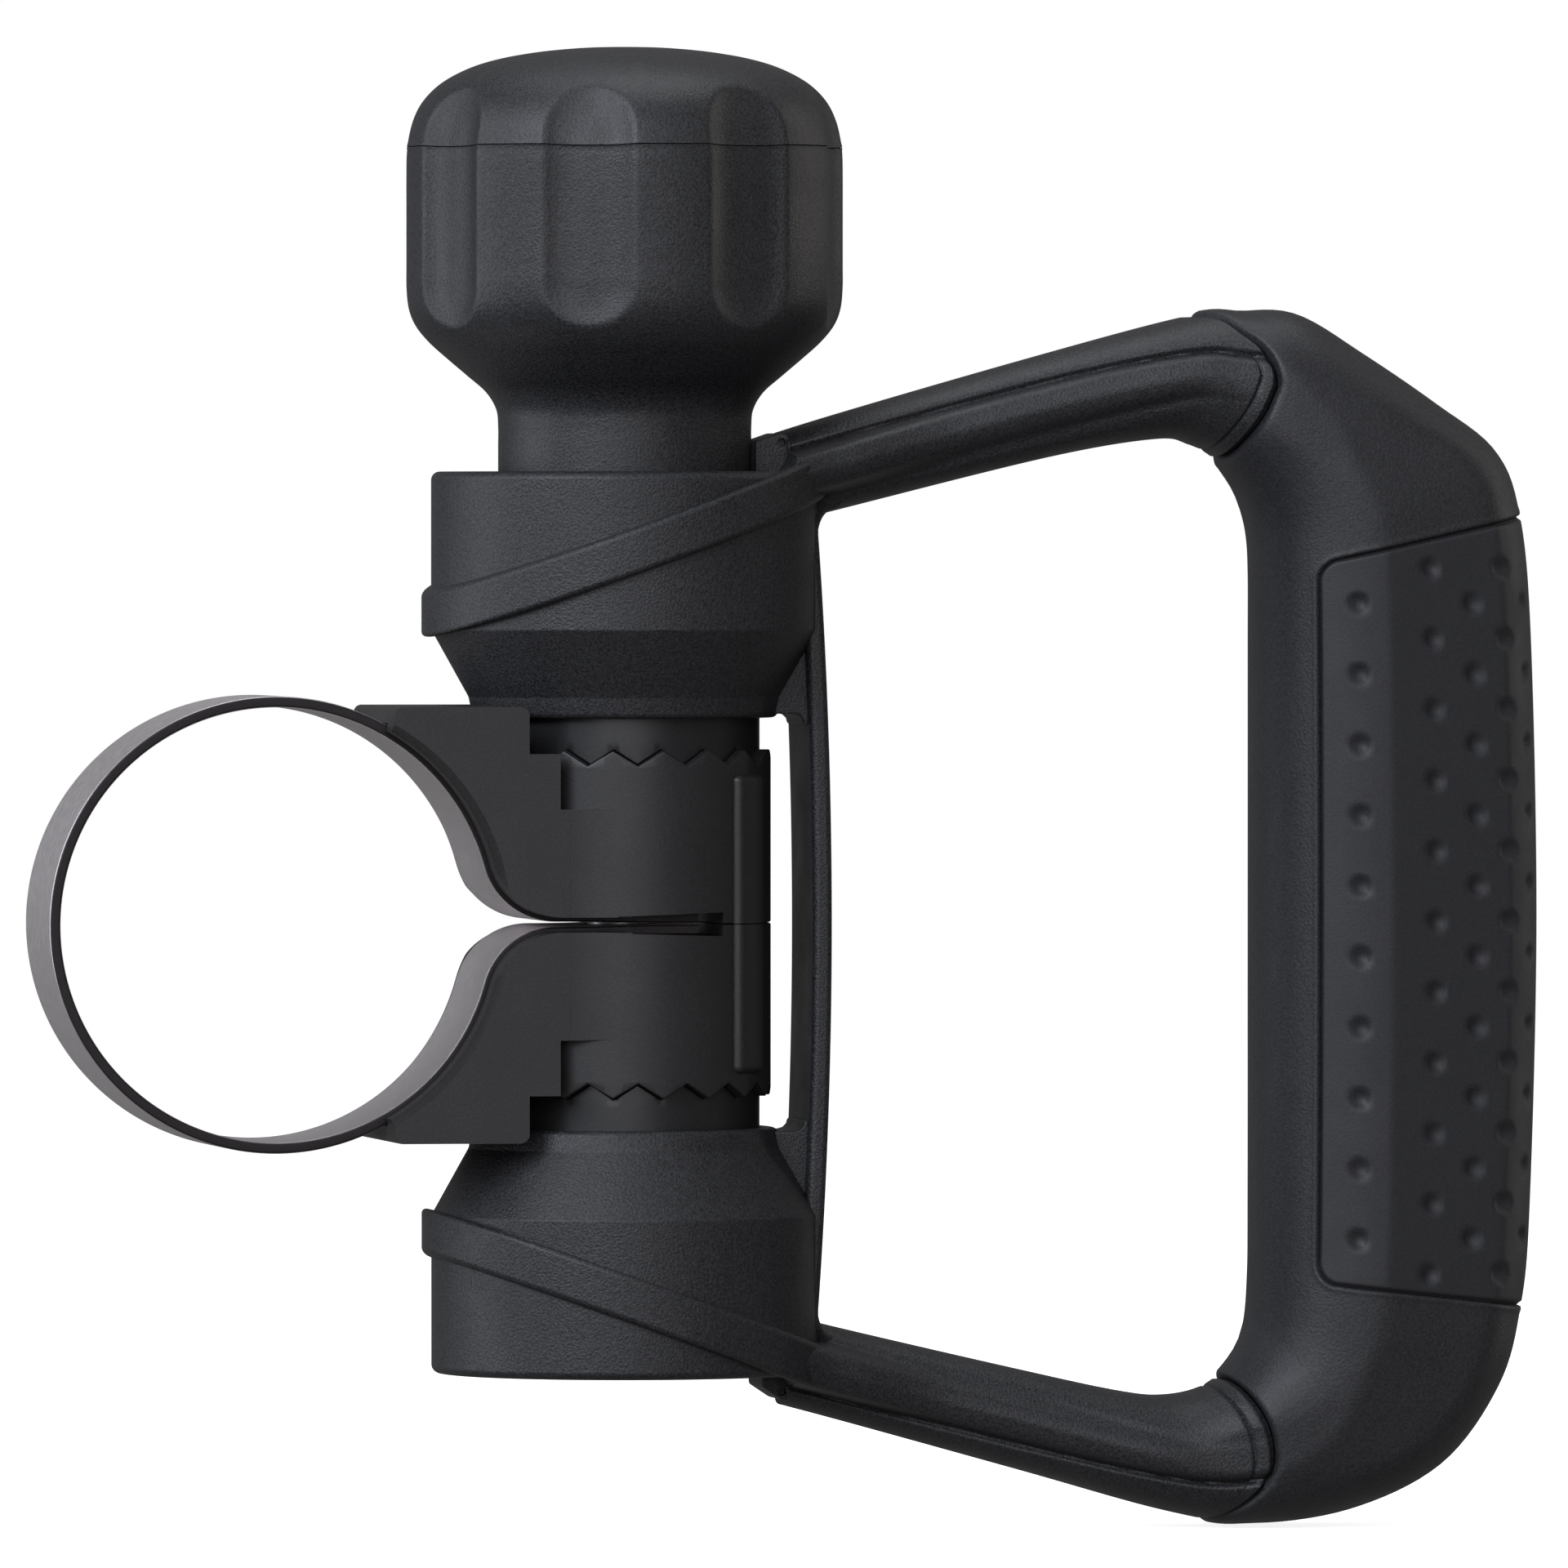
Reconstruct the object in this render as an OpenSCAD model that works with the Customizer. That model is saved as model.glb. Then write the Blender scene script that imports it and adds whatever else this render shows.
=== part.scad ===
/* [Collar clamp] */
// Radius of the tool collar that the band closes round
collar_r = 29; // [26:0.5:35]
// Distance from the collar's wall to the clamp bolt's axis
wall_to_bolt = 20; // [19:0.5:23]
// Thickness of the steel band
band_t = 1.5; // [1:0.1:2]
// Width of the steel band along the collar
band_w = 24; // [18:1:27]
// Radius of the reverse bend on the band's slit side
bend_r = 10; // [8:0.5:11]
// Half the gap between the band's two tails
tail_gap = 0.3; // [0.2:0.1:0.8]
// Distance of the tail ends past the bolt's axis
tail_end = 8; // [7:0.5:9]

/* [Jaws] */
// Width of each jaw along the collar
jaw_w = 37; // [34:1:38]
// Height of each jaw past the middle of the teeth
jaw_over = 6.9; // [5.8:0.1:8.8]
// Distance from the bolt's axis to the jaws' front corner
jaw_reach = 34; // [33:0.5:38]
// Step from the toothed rings out to the jaws' round sleeves
sleeve_over = 1.5; // [0.8:0.1:2]
// Half height of the slit at the nose
slit_nose = 0.9; // [0.8:0.1:1.3]
// Half height of the slit at the heel
slit_heel = 1.6; // [1.4:0.1:2.2]
// Length of the heel where the jaws meet, measured in from the sleeve
heel_depth = 9; // [6.6:0.1:10]
// Corner cut at the jaws' front edge
jaw_corner = 0.8; // [0.4:0.1:1.2]
// Set back of the bevel on the seat's flanks
flank_bevel = 1.2; // [0.6:0.1:1.6]

/* [Toothed couplings] */
// Height of the middle of the teeth above the split
tooth_z = 22.2; // [18.5:0.1:26]
// Height of the teeth from root to tip
tooth_h = 2; // [1.4:0.1:2.4]
// Number of teeth on each coupling
teeth = 18; // [12:1:24]
// Angle of the first tooth about the bolt
tooth_phase = -4; // [-10:1:10]
// Radius of the toothed rings
ring_r = 18.1; // [17:0.1:22]
// Step from the rings out to their shoulders inside the hubs
shoulder_step = 1.4; // [1.2:0.1:2]
// Length of the rings past the middle of the teeth
ring_h = 17.8; // [16.8:0.2:20]
// Travel of the upper ring past the teeth when the knob is loosened
upper_clear = 1.5; // [0.8:0.1:1.8]
// Travel of the lower ring past the teeth when the knob is loosened
lower_clear = 0.5; // [0.3:0.1:1]

/* [Bolt] */
// Diameter of the clamp bolt
bolt_d = 10; // [8:1:12]
// Width across the flats of the bolt head and nuts
hex_af = 17; // [15:1:18]
// Thickness of the bolt head
head_h = 6.4; // [5:0.2:8]
// Length of the bolt past the stop nut
bolt_over = 2.5; // [1.5:0.5:6]
// Wire thickness of the two release springs
wire_d = 1.2; // [0.8:0.1:1.4]

/* [Knob] */
// Radius of the knob
knob_r = 29.35; // [28:0.25:32]
// Free space between the knob's neck and the hub's bore
neck_play = 2.8; // [2:0.1:3.6]
// Height above the hub at which the knob reaches its full radius
knob_rise = 22.5; // [20:0.5:27]
// Height of the knob from there to the cap
knob_h = 21; // [19:0.5:25]
// Height of the cap
cap_h = 13.8; // [13:0.2:16]
// Number of finger flutes
flutes = 8; // [6:1:10]
// Width of each flute
flute_w = 12.4; // [9:0.2:13]
// Depth of each flute
flute_depth = 1.6; // [1:0.1:2]

/* [Frame] */
// Wall of the two hubs round the rings' shoulders
hub_wall = 6.2; // [5:0.2:8]
// Height of the hubs past the rings
hub_over = 20.5; // [18:0.5:23]
// Gap from the middle of the teeth to the hubs' inner lips
lip_gap = 5.3; // [4.3:0.1:6.3]
// Height of the hubs' cones
cone_h = 12; // [10:0.5:14]
// Proud height of the slanted collar on each hub
rib_proud = 1.3; // [0.8:0.1:2]
// Width of the slanted collar
rib_w = 6; // [4:0.2:7]
// Slant of the collar
rib_tilt = 19.5; // [14:0.5:22]
// Thickness of the strap between the hubs
strap_t = 2.9; // [2.2:0.1:3.2]
// Width of the strap
strap_w = 18; // [12:1:20]
// Proud height of the rib that runs on from the slanted collar along each arm
rail_proud = 0.4; // [0.2:0.1:0.8]
// Outward bow of the strap at its middle
strap_bow = 2.1; // [1:0.1:3]
// Distance from the bolt's axis to the grip's inner side
grip_in = 85.5; // [82:0.5:95]
// Depth of the grip
grip_d = 39.7; // [34:0.5:42]
// Width of the grip
grip_w = 33; // [30:1:38]
// Drop of the grip's flanks from the ridge along its middle
ridge_drop = 0.9; // [0.4:0.1:1.4]
// Height of the frame's upper corner past the hub
corner_up = 21.7; // [18:0.1:30]
// Depth of the frame's lower corner past the hub
corner_down = 20.9; // [18:0.1:30]
// Thickness of an arm where it leaves the hub
arm_t = 12.4; // [10:0.2:13]
// Width of an arm where it leaves the hub
arm_w = 17; // [14:1:20]

/* [Grip cover] */
// Thickness of the soft cover
cover_t = 2.8; // [2.4:0.1:3.4]
// Thickness of the dimpled inlay
inlay_t = 1.4; // [1:0.1:1.8]
// Depth of the groove between the cover's ends and the frame
groove_d = 0.9; // [0.4:0.1:1.4]

/* [Hidden] */
$fn = 96;

// Clearances
run_gap = 0.05;
seat_gap = 0.1;
bore_gap = 0.3;
skin_gap = 0.2;
eps = 0.01;

// Radii from the bolt's axis outwards
bolt_r = bolt_d / 2;
bolt_hole = bolt_r + 0.6;
jaw_hole = bolt_r + 1.2;
spring_r = bolt_r + 3.6;
spring_room = spring_r + 0.6;
hex_r = hex_af / 2 / cos(30);
ring_bore = ring_r + bore_gap;
sleeve_r = ring_r + sleeve_over;
shoulder_r = ring_r + shoulder_step;
hub_bore = shoulder_r + bore_gap;
hub_r = hub_bore + hub_wall;
neck_r = hub_bore - neck_play;
heel_x = sleeve_r - heel_depth;

// Heights above the split, from the teeth up to the knob's top
jaw_h = tooth_z + jaw_over;
hub_lip = tooth_z + lip_gap;
hub_full = hub_lip + cone_h;
ring_end = tooth_z + ring_h;
shoulder_z = ring_end - 4;
spring_low = 12;
spring_high = shoulder_z - 4;
hub_end = ring_end + hub_over;
knob_low = hub_end + knob_rise;
cap_z = knob_low + knob_h;
knob_top = cap_z + cap_h;
frame_top = hub_end + corner_up;
frame_low = hub_end + corner_down;

// Knob, bush and stop nut on the bolt
upper_travel = tooth_h + upper_clear;
lower_travel = tooth_h + lower_clear;
washer_t = 1.5;
foot_z = ring_end + washer_t;
bush_low = foot_z + 1.5;
bush_high = bush_low + 20;
nut_z = bush_high + upper_travel + lower_travel + 0.5;
nut_h = 8;
bolt_top = nut_z + nut_h + bolt_over;

// Band and seat, seen along the collar, measured from the bolt's axis
collar_to_bolt = collar_r + wall_to_bolt;
collar_x = -collar_to_bolt;
seat_r = collar_r + band_t;
bend_z = tail_gap + bend_r;
bend_x = collar_x + sqrt(pow(collar_r + bend_r, 2) - pow(bend_z, 2));
tail_out = tail_gap + band_t;

// Clearance rings cut round the sleeves
groove_r = sleeve_r + 2.3;
groove_z = tooth_z - 6.8;
hub_room_r = groove_r + 2.5;
hub_room_z = tooth_z + 0.6;

// Puts what is drawn about the bolt's axis into the part's frame, whose origin is the collar's centre
module at_bolt() translate([collar_to_bolt, 0, 0]) children();

// Extrudes a side view along the collar, with the view's y as height
module slab(width) rotate([90, 0, 0]) linear_extrude(width, center = true) children();

// One jaw seen along the collar
module jaw_side() {
  difference() {
    polygon([[-jaw_reach, 0], [-jaw_reach, jaw_h - jaw_corner], [-jaw_reach + jaw_corner, jaw_h], [0, jaw_h],
      [0, 0]]);
    translate([collar_x, 0]) circle(seat_r, $fn = 180);
  }
}

// Crown of pointed teeth about the bolt, for a jaw, or raised by a gap to cut the ring
module tooth_crown(gap) {
  inner_r = spring_room - 1;
  outer_r = sleeve_r + 3;
  low = tooth_z - tooth_h;
  n = 2 * teeth;
  function height(i) = tooth_z + gap + (i % 2 == 0 ? tooth_h / 2 : -tooth_h / 2);
  function around(r, i, z) = let (a = tooth_phase + i * 180 / teeth) [r * cos(a), r * sin(a), z];
  tube_rows([
    [for (i = [0 : n - 1]) around(inner_r, i, low)],
    [for (i = [0 : n - 1]) around(inner_r, i, height(i))],
    [for (i = [0 : n - 1]) around(outer_r, i, height(i))],
    [for (i = [0 : n - 1]) around(outer_r, i, low)]
  ]);
}

// Upright bar on the sleeve's heel side, across the split
module sleeve_bar(angle) {
  rotate([0, 0, angle])
    translate([sleeve_r - 1, 0, 0])
      rotate([90, 0, 0])
        linear_extrude(6.4, center = true)
          polygon([[0, 0], [1.8, 0], [1.8, tooth_z - 3.6], [0, tooth_z - 1.8]]);
}

// The upper jaw; the lower one is its mirror image
module jaw_body() {
  difference() {
    union() {
      difference() {
        slab(jaw_w) jaw_side();
        translate([0, 0, hub_room_z]) cylinder(r = hub_room_r, h = jaw_h);
        translate([0, 0, groove_z]) cylinder(r = groove_r, h = jaw_h);
      }
      cylinder(r = sleeve_r, h = tooth_z - tooth_h / 2);
      intersection() {
        tooth_crown(0);
        cylinder(r = sleeve_r, h = jaw_h);
      }
      sleeve_bar(-42);
      sleeve_bar(42);
    }
    slit_cut();
    band_room();
    flank_cut(1);
    flank_cut(-1);
    translate([0, 0, -1]) cylinder(r = jaw_hole, h = jaw_h);
    translate([0, 0, spring_low]) cylinder(r = spring_room, h = jaw_h);
    translate([-jaw_h, -jaw_h, -jaw_h]) cube([2 * jaw_h, 2 * jaw_h, jaw_h + run_gap / 2]);
  }
}

// Air between the jaws: round the nose, then a wedge to the heel
module slit_cut() {
  slab(2 * jaw_w) {
    difference() {
      polygon([[collar_x, 0], [bend_x, bend_z], [bend_x, 0]]);
      translate([bend_x, bend_z]) circle(bend_r - (slit_nose - tail_gap));
    }
    polygon([[bend_x - eps, 0], [heel_x, 0], [heel_x, slit_heel], [bend_x, slit_nose],
      [bend_x - eps, slit_nose]]);
  }
}

// Recess that takes the band over the nose and its tail beside the slit
module band_room() throat(band_t + bore_gap, tail_end + 0.5, band_w + 2 * bore_gap);

// Conical bevel from the band's edge out to the jaw's side
module flank_cut(side) {
  depth = (jaw_w - band_w) / 2;
  translate([collar_x, side * (band_w / 2 + depth / 2), 0])
    rotate([-90 * side, 0, 0])
      cylinder(r1 = seat_r, r2 = seat_r + flank_bevel, h = depth + eps, center = true, $fn = 180);
}

module upper_jaw() {
  color("#3c3d41") at_bolt() jaw_body();
}

module lower_jaw() {
  color("#3c3d41") at_bolt() mirror([0, 0, 1]) jaw_body();
}

// Air on the collar's side of the band, grown by a depth into the jaws
module throat(depth, reach, width) {
  lead = atan2(bend_z, bend_x - collar_x) + 2;
  bend = [for (a = [lead : 4 : 88])
    [bend_x - (bend_r - depth) * cos(a), bend_z - (bend_r - depth) * sin(a)]];
  half = concat(bend, [[bend_x, tail_gap + depth], [reach, tail_gap + depth]]);
  translate([collar_x, 0, 0])
    rotate([90, 0, 0]) cylinder(r = collar_r + depth, h = width, center = true, $fn = 180);
  slab(width)
    polygon(concat([[collar_x, 0]], half, [for (i = [len(half) - 1 : -1 : 0]) [half[i][0], -half[i][1]]]));
}

module clamp_band() {
  color("#8d8684") at_bolt()
    difference() {
      throat(band_t, tail_end, band_w);
      throat(0, tail_end + 1, band_w + 2);
      translate([0, 0, -2 * tail_out]) cylinder(r = bolt_hole, h = 4 * tail_out);
    }
}

// Toothed ring about the bolt, with its shoulder in the hub; the lower one is its mirror image
module ring_body() {
  difference() {
    union() {
      translate([0, 0, tooth_z - tooth_h]) cylinder(r = ring_r, h = ring_end - tooth_z + tooth_h);
      translate([0, 0, shoulder_z]) cylinder(r = shoulder_r, h = ring_end - shoulder_z);
    }
    tooth_crown(seat_gap);
    cylinder(r = spring_room, h = spring_high);
    cylinder(r = bolt_hole, h = 2 * ring_end);
  }
}

module upper_ring() {
  color("#303034") at_bolt() ring_body();
}

module lower_ring() {
  color("#303034") at_bolt()
    mirror([0, 0, 1])
      difference() {
        ring_body();
        translate([0, 0, shoulder_z]) cylinder(r = hex_r + seat_gap, h = ring_end, $fn = 6);
      }
}

module thrust_washer() {
  color("#a9abb0") at_bolt()
    translate([0, 0, ring_end])
      difference() {
        cylinder(r = neck_r - 2, h = washer_t);
        translate([0, 0, -1]) cylinder(r = bolt_hole, h = washer_t + 2);
      }
}

module clamp_bolt() {
  color("#9a9ca2") at_bolt() {
    translate([0, 0, -shoulder_z - head_h]) cylinder(r = hex_r, h = head_h, $fn = 6);
    translate([0, 0, -shoulder_z - eps]) cylinder(r = bolt_r, h = bolt_top + shoulder_z - 1);
    translate([0, 0, bolt_top - 1 - 2 * eps]) cylinder(r1 = bolt_r, r2 = bolt_r - 1, h = 1);
  }
}

module stop_nut() {
  color("#9a9ca2") at_bolt()
    translate([0, 0, nut_z])
      difference() {
        cylinder(r = hex_r, h = nut_h, $fn = 6);
        translate([0, 0, -1]) cylinder(r = bolt_r + eps, h = nut_h + 2);
      }
}

module threaded_bush() {
  color("#b09a62") at_bolt()
    translate([0, 0, bush_low])
      difference() {
        cylinder(r = hex_r, h = bush_high - bush_low, $fn = 6);
        translate([0, 0, -1]) cylinder(r = bolt_r + run_gap, h = bush_high - bush_low + 2);
      }
}

// Outline of knob and cap together, as radius and height
function knob_outline() =
  let (
    slope = [for (a = [0 : 10 : 60]) [knob_r - 3 * (1 - cos(a)), knob_low - 3 * sin(a)]],
    crown_r = 10,
    crown_z = knob_top - 12.3,
    crown = [for (a = [0 : 9 : 81]) [knob_r - crown_r + crown_r * cos(a), crown_z + crown_r * sin(a)]]
  )
  concat(
    [[0, foot_z], [shoulder_r - 0.2, foot_z], [shoulder_r - 0.2, foot_z + 4], [neck_r, foot_z + 6],
      [neck_r, knob_low - 14], [neck_r + 1.2, knob_low - 12], [neck_r + 3.6, knob_low - 9.8]],
    [for (i = [6 : -1 : 0]) slope[i]],
    crown,
    [[knob_r * 0.36, knob_top - 0.7], [0, knob_top]]
  );

// Round ended hollow for one finger, from a large ball drawn up the knob's side
module flute_cutter() {
  half = flute_w / 2;
  chord = knob_r - sqrt(knob_r * knob_r - half * half);
  sag = flute_depth - chord;
  cut_r = (half * half + sag * sag) / (2 * sag);
  translate([knob_r - flute_depth + cut_r, 0, knob_low + half - 3]) {
    sphere(cut_r, $fn = 64);
    cylinder(r = cut_r, h = cap_z - knob_low - half + 4, $fn = 64);
    translate([0, 0, cap_z - knob_low - half + 4]) sphere(cut_r, $fn = 64);
  }
}

module knob_solid() {
  difference() {
    rotate_extrude() polygon(knob_outline());
    for (i = [0 : flutes - 1])
      rotate([0, 0, -19 + i * 360 / flutes]) flute_cutter();
  }
}

module knob() {
  wall = 3.6;
  hollow_r = knob_r - flute_depth - wall;
  color("#2d2d30") at_bolt()
    difference() {
      knob_solid();
      translate([0, 0, cap_z]) cylinder(r = 2 * knob_r, h = knob_top);
      translate([0, 0, foot_z - 1]) cylinder(r = bolt_hole, h = bush_low);
      translate([0, 0, bush_low]) cylinder(r = hex_r + eps, h = bush_high - bush_low, $fn = 6);
      translate([0, 0, bush_high - eps]) cylinder(r = hex_r + 1.2, h = knob_top);
      translate([0, 0, knob_low - 4]) cylinder(r1 = hollow_r - 8, r2 = hollow_r, h = 8 + eps);
      translate([0, 0, knob_low + 4]) cylinder(r = hollow_r, h = knob_top);
    }
}

module knob_cap() {
  wall = 3.6;
  hollow_r = knob_r - flute_depth - wall;
  spigot = 5;
  color("#2d2d30") at_bolt()
    difference() {
      union() {
        difference() {
          knob_solid();
          translate([0, 0, cap_z + eps - knob_top]) cylinder(r = 2 * knob_r, h = knob_top);
        }
        translate([0, 0, cap_z - spigot]) cylinder(r = hollow_r - seat_gap, h = spigot + 1);
      }
      translate([0, 0, cap_z - spigot - 1]) cylinder(r = hollow_r - 2.4, h = spigot + 1);
      translate([0, 0, cap_z - eps])
        cylinder(r1 = hollow_r - 2.4, r2 = hollow_r - 12, h = knob_top - cap_z - 4);
    }
}

// Compression spring between two heights, with its end turns closed flat
module release_spring() {
  turns = 6;
  per_turn = 18;
  steps = turns * per_turn;
  sides = 8;
  free = spring_high - spring_low - 3 * wire_d;
  coil_r = spring_r - wire_d / 2;
  function closed_part(u) = wire_d * (0.5 + min(u, 1) + max(0, u - turns + 1));
  function open_part(u) = free * max(0, min(1, (u - 1) / (turns - 2)));
  closed_rows([for (j = [0 : steps])
    let (u = j / per_turn, height = spring_low + closed_part(u) + open_part(u))
    [for (i = [0 : sides - 1])
      let (out = coil_r + wire_d / 2 * cos(i * 360 / sides))
      [out * cos(u * 360), out * sin(u * 360), height + wire_d / 2 * sin(i * 360 / sides)]]]);
}

module upper_spring() {
  color("#a9abb0") at_bolt() release_spring();
}

module lower_spring() {
  color("#a9abb0") at_bolt() mirror([0, 0, 1]) release_spring();
}

// Sections of the D from the upper hub round the grip to the lower hub
// Each row holds the outer point, the inner point, half the width and the roundness
arm_x = hub_bore - 5.8;
grip_out = grip_in + grip_d;
arm_low = hub_end - 7.3;
sections = [
  [[arm_x, arm_low - 2 + arm_t], [arm_x, arm_low - 1.6], arm_w / 2 - 0.3, 2.6],
  [[hub_r + 2, arm_low + 2.4 + arm_t], [hub_r + 3, arm_low + 2.2], arm_w / 2 + 0.5, 2.6],
  [[grip_in - 31, frame_top - 6.6], [grip_in - 28, frame_top - 19.8], arm_w / 2 + 1.5, 2.6],
  [[grip_in - 9.5, frame_top - 0.9], [grip_in - 13, frame_top - 17.3], arm_w / 2 + 3.5, 2.6],
  [[grip_in - 1.5, frame_top], [grip_in - 8, frame_top - 18.1], grip_w / 2 - 3.5, 2.5],
  [[grip_in + 6, frame_top - 0.4], [grip_in - 4.5, frame_top - 20], grip_w / 2 - 2.5, 2.5],
  [[grip_in + 15, frame_top - 5.7], [grip_in - 2.2, frame_top - 23], grip_w / 2 - 1.5, 2.5],
  [[grip_in + 25, frame_top - 12.4], [grip_in - 0.9, frame_top - 26.4], grip_w / 2 - 0.8, 2.5],
  [[grip_in + 33.7, frame_top - 18.7], [grip_in - 0.2, frame_top - 30.2], grip_w / 2 - 0.2, 2.5],
  [[grip_out - 2.4, frame_top - 27.2], [grip_in, frame_top - 35.2], grip_w / 2, 2.5],
  [[grip_out - 0.8, frame_top - 44.2], [grip_in, frame_top - 46.2], grip_w / 2, 2.5],
  [[grip_out, 0], [grip_in, 0], grip_w / 2, 2.5],
  [[grip_out - 0.9, 43.4 - frame_low], [grip_in, 45.4 - frame_low], grip_w / 2, 2.5],
  [[grip_out - 2.2, 29 - frame_low], [grip_in, 33.2 - frame_low], grip_w / 2, 2.5],
  [[grip_out - 5.4, 18.4 - frame_low], [grip_in - 0.7, 26.2 - frame_low], grip_w / 2 - 0.4, 2.5],
  [[grip_in + 26, 8 - frame_low], [grip_in - 2.5, 21.6 - frame_low], grip_w / 2 - 1.2, 2.5],
  [[grip_in + 14, 2 - frame_low], [grip_in - 6, 18.6 - frame_low], grip_w / 2 - 2.5, 2.5],
  [[grip_in + 0.5, -frame_low], [grip_in - 11.5, 17.4 - frame_low], arm_w / 2 + 3.5, 2.6],
  [[grip_in - 11.5, 1.7 - frame_low], [grip_in - 18, 18 - frame_low], arm_w / 2 + 3, 2.6],
  [[grip_in - 31.8, 7.4 - frame_low], [grip_in - 32.2, 21.1 - frame_low], arm_w / 2 + 1.5, 2.6],
  [[hub_r + 2, -arm_low - 1.2 - arm_t], [hub_r + 3, -arm_low - 1.4], arm_w / 2 + 0.5, 2.6],
  [[arm_x, -arm_low - arm_t + 2.5], [arm_x, -arm_low + 2.4], arm_w / 2 - 0.3, 2.6],
];
last = len(sections) - 1;
top_edge = 9;
low_edge = 13;

// Angles round a section, from the outer side, with an extra pair at the inlay's edges
columns = 28;
inlay_column = 10;
inlay_angle = inlay_column * 360 / columns;
edge_angle = 1.3;
angles = concat(
  [for (i = [0 : inlay_column - 1]) i * 360 / columns],
  [inlay_angle - edge_angle],
  [for (i = [inlay_column : columns - inlay_column]) i * 360 / columns],
  [360 - inlay_angle + edge_angle],
  [for (i = [columns - inlay_column + 1 : columns - 1]) i * 360 / columns]
);
edge_t = 0.02;
inlay_rows = 8;
corner_rows = 10;
seam_step = 0.03;
seam_end = 0.08;

// Smooth value between the rows of the section list
function spline(a, b, c, d, f) =
  b + 0.5 * f * ((c - a) + f * ((2 * a - 5 * b + 4 * c - d) + f * (3 * (b - c) + d - a)));
function section_at(t) =
  let (i = min(floor(t), last - 1), f = t - i, a = sections[max(i - 1, 0)], b = sections[i],
    c = sections[i + 1], d = sections[min(i + 2, last)])
  [for (k = [0 : 3]) spline(a[k], b[k], c[k], d[k], f)];
function rounded(v, n) = sign(v) * pow(abs(v), 2 / n);

// Point on the D's skin, sunk by a depth, with its flanks falling away from a ridge
function skin(t, angle, depth) =
  let (s = section_at(t), half = (s[0] - s[1]) / 2, mid = (s[0] + s[1]) / 2, in_plane = norm(half),
    share = rounded(cos(angle), s[3]), along = share * (in_plane - depth) / in_plane,
    wide = s[2] - depth - ridge_drop * min(1, abs(share) / 0.6))
  [mid[0] + half[0] * along, rounded(sin(angle), s[3]) * wide, mid[1] + half[1] * along];

// Row of a rib's corners across the D, proud of its middle
function rib_row(t, proud) =
  let (s = section_at(t), mid = (s[0] + s[1]) / 2, up = (s[0] - s[1]) / norm(s[0] - s[1]), half = rib_w / 2,
    inner = s[2] - 1.4, outer = s[2] + proud)
  [for (p = [[half, inner], [half - 0.7, outer], [0.7 - half, outer], [-half, inner], [-half, -inner],
    [0.7 - half, -outer], [half - 0.7, -outer], [half, -inner]])
    [mid[0] + up[0] * p[0], p[1], mid[1] + up[1] * p[0]]];

// Where the soft cover ends on the upper and lower corner
function upper_seam(angle) = let (s = rounded(cos(angle), 2.5)) 5.6 - 2.3 * pow(max(0, s), 2);
function lower_seam(angle) = let (s = rounded(cos(angle), 2.5)) 16.1 + 0.8 * s + 0.7 * pow(max(0, s), 2);
function between(a, b, k) = a + (b - a) * k;

// Closed skin over rows of points, each row a full turn, with flat ends
// A row that runs out and back, as a bent sheet's does, has its ends closed by a strip of quads
module closed_rows(rows, bent = false) {
  n = len(rows[0]);
  m = len(rows);
  end = (m - 1) * n;
  polyhedron(
    points = [for (row = rows) each row],
    faces = concat(
      bent ? [for (i = [0 : n / 2 - 2]) [n - 1 - i, n - 2 - i, i + 1, i]] : [[for (i = [n - 1 : -1 : 0]) i]],
      bent ? [for (i = [0 : n / 2 - 2]) [end + i, end + i + 1, end + n - 2 - i, end + n - 1 - i]]
        : [[for (i = [0 : n - 1]) end + i]],
      [for (j = [0 : m - 2], i = [0 : n - 1]) [j * n + i, (j + 1) * n + (i + 1) % n, (j + 1) * n + i]],
      [for (j = [0 : m - 2], i = [0 : n - 1]) [j * n + i, j * n + (i + 1) % n, (j + 1) * n + (i + 1) % n]]
    )
  );
}

// Closed tube over rows of points whose last row joins the first
module tube_rows(rows) {
  n = len(rows[0]);
  m = len(rows);
  polyhedron(
    points = [for (row = rows) each row],
    faces = concat(
      [for (j = [0 : m - 1], i = [0 : n - 1])
        [j * n + i, ((j + 1) % m) * n + (i + 1) % n, ((j + 1) % m) * n + i]],
      [for (j = [0 : m - 1], i = [0 : n - 1])
        [j * n + i, j * n + (i + 1) % n, ((j + 1) % m) * n + (i + 1) % n]]
    )
  );
}

// Arms and core of the D in one run
module frame_loop() {
  core = cover_t + skin_gap;
  closed_rows(concat(
    [for (t = [0, 0.5, 1, 1.5, 2, 2.5, 3]) [for (a = angles) skin(t, a, 0)]],
    [for (k = [0.3, 0.6, 0.85]) [for (a = angles) skin(between(3, upper_seam(a), k), a, 0)]],
    [[for (a = angles) skin(upper_seam(a), a, groove_d)]],
    [for (k = [0 : corner_rows - 1])
      [for (a = angles) skin(between(upper_seam(a) + seam_step, top_edge, k / corner_rows), a, core)]],
    [for (t = [top_edge : 1 : low_edge]) [for (a = angles) skin(t, a, core)]],
    [for (k = [1 : corner_rows])
      [for (a = angles) skin(between(low_edge, lower_seam(a) - seam_step, k / corner_rows), a, core)]],
    [[for (a = angles) skin(lower_seam(a), a, groove_d)]],
    [for (k = [0.22, 0.6]) [for (a = angles) skin(between(lower_seam(a), 18, k), a, 0)]],
    [for (t = [18, 18.5, 19, 19.5, 20, 20.5, 21]) [for (a = angles) skin(t, a, 0)]]
  ));
}

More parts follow.
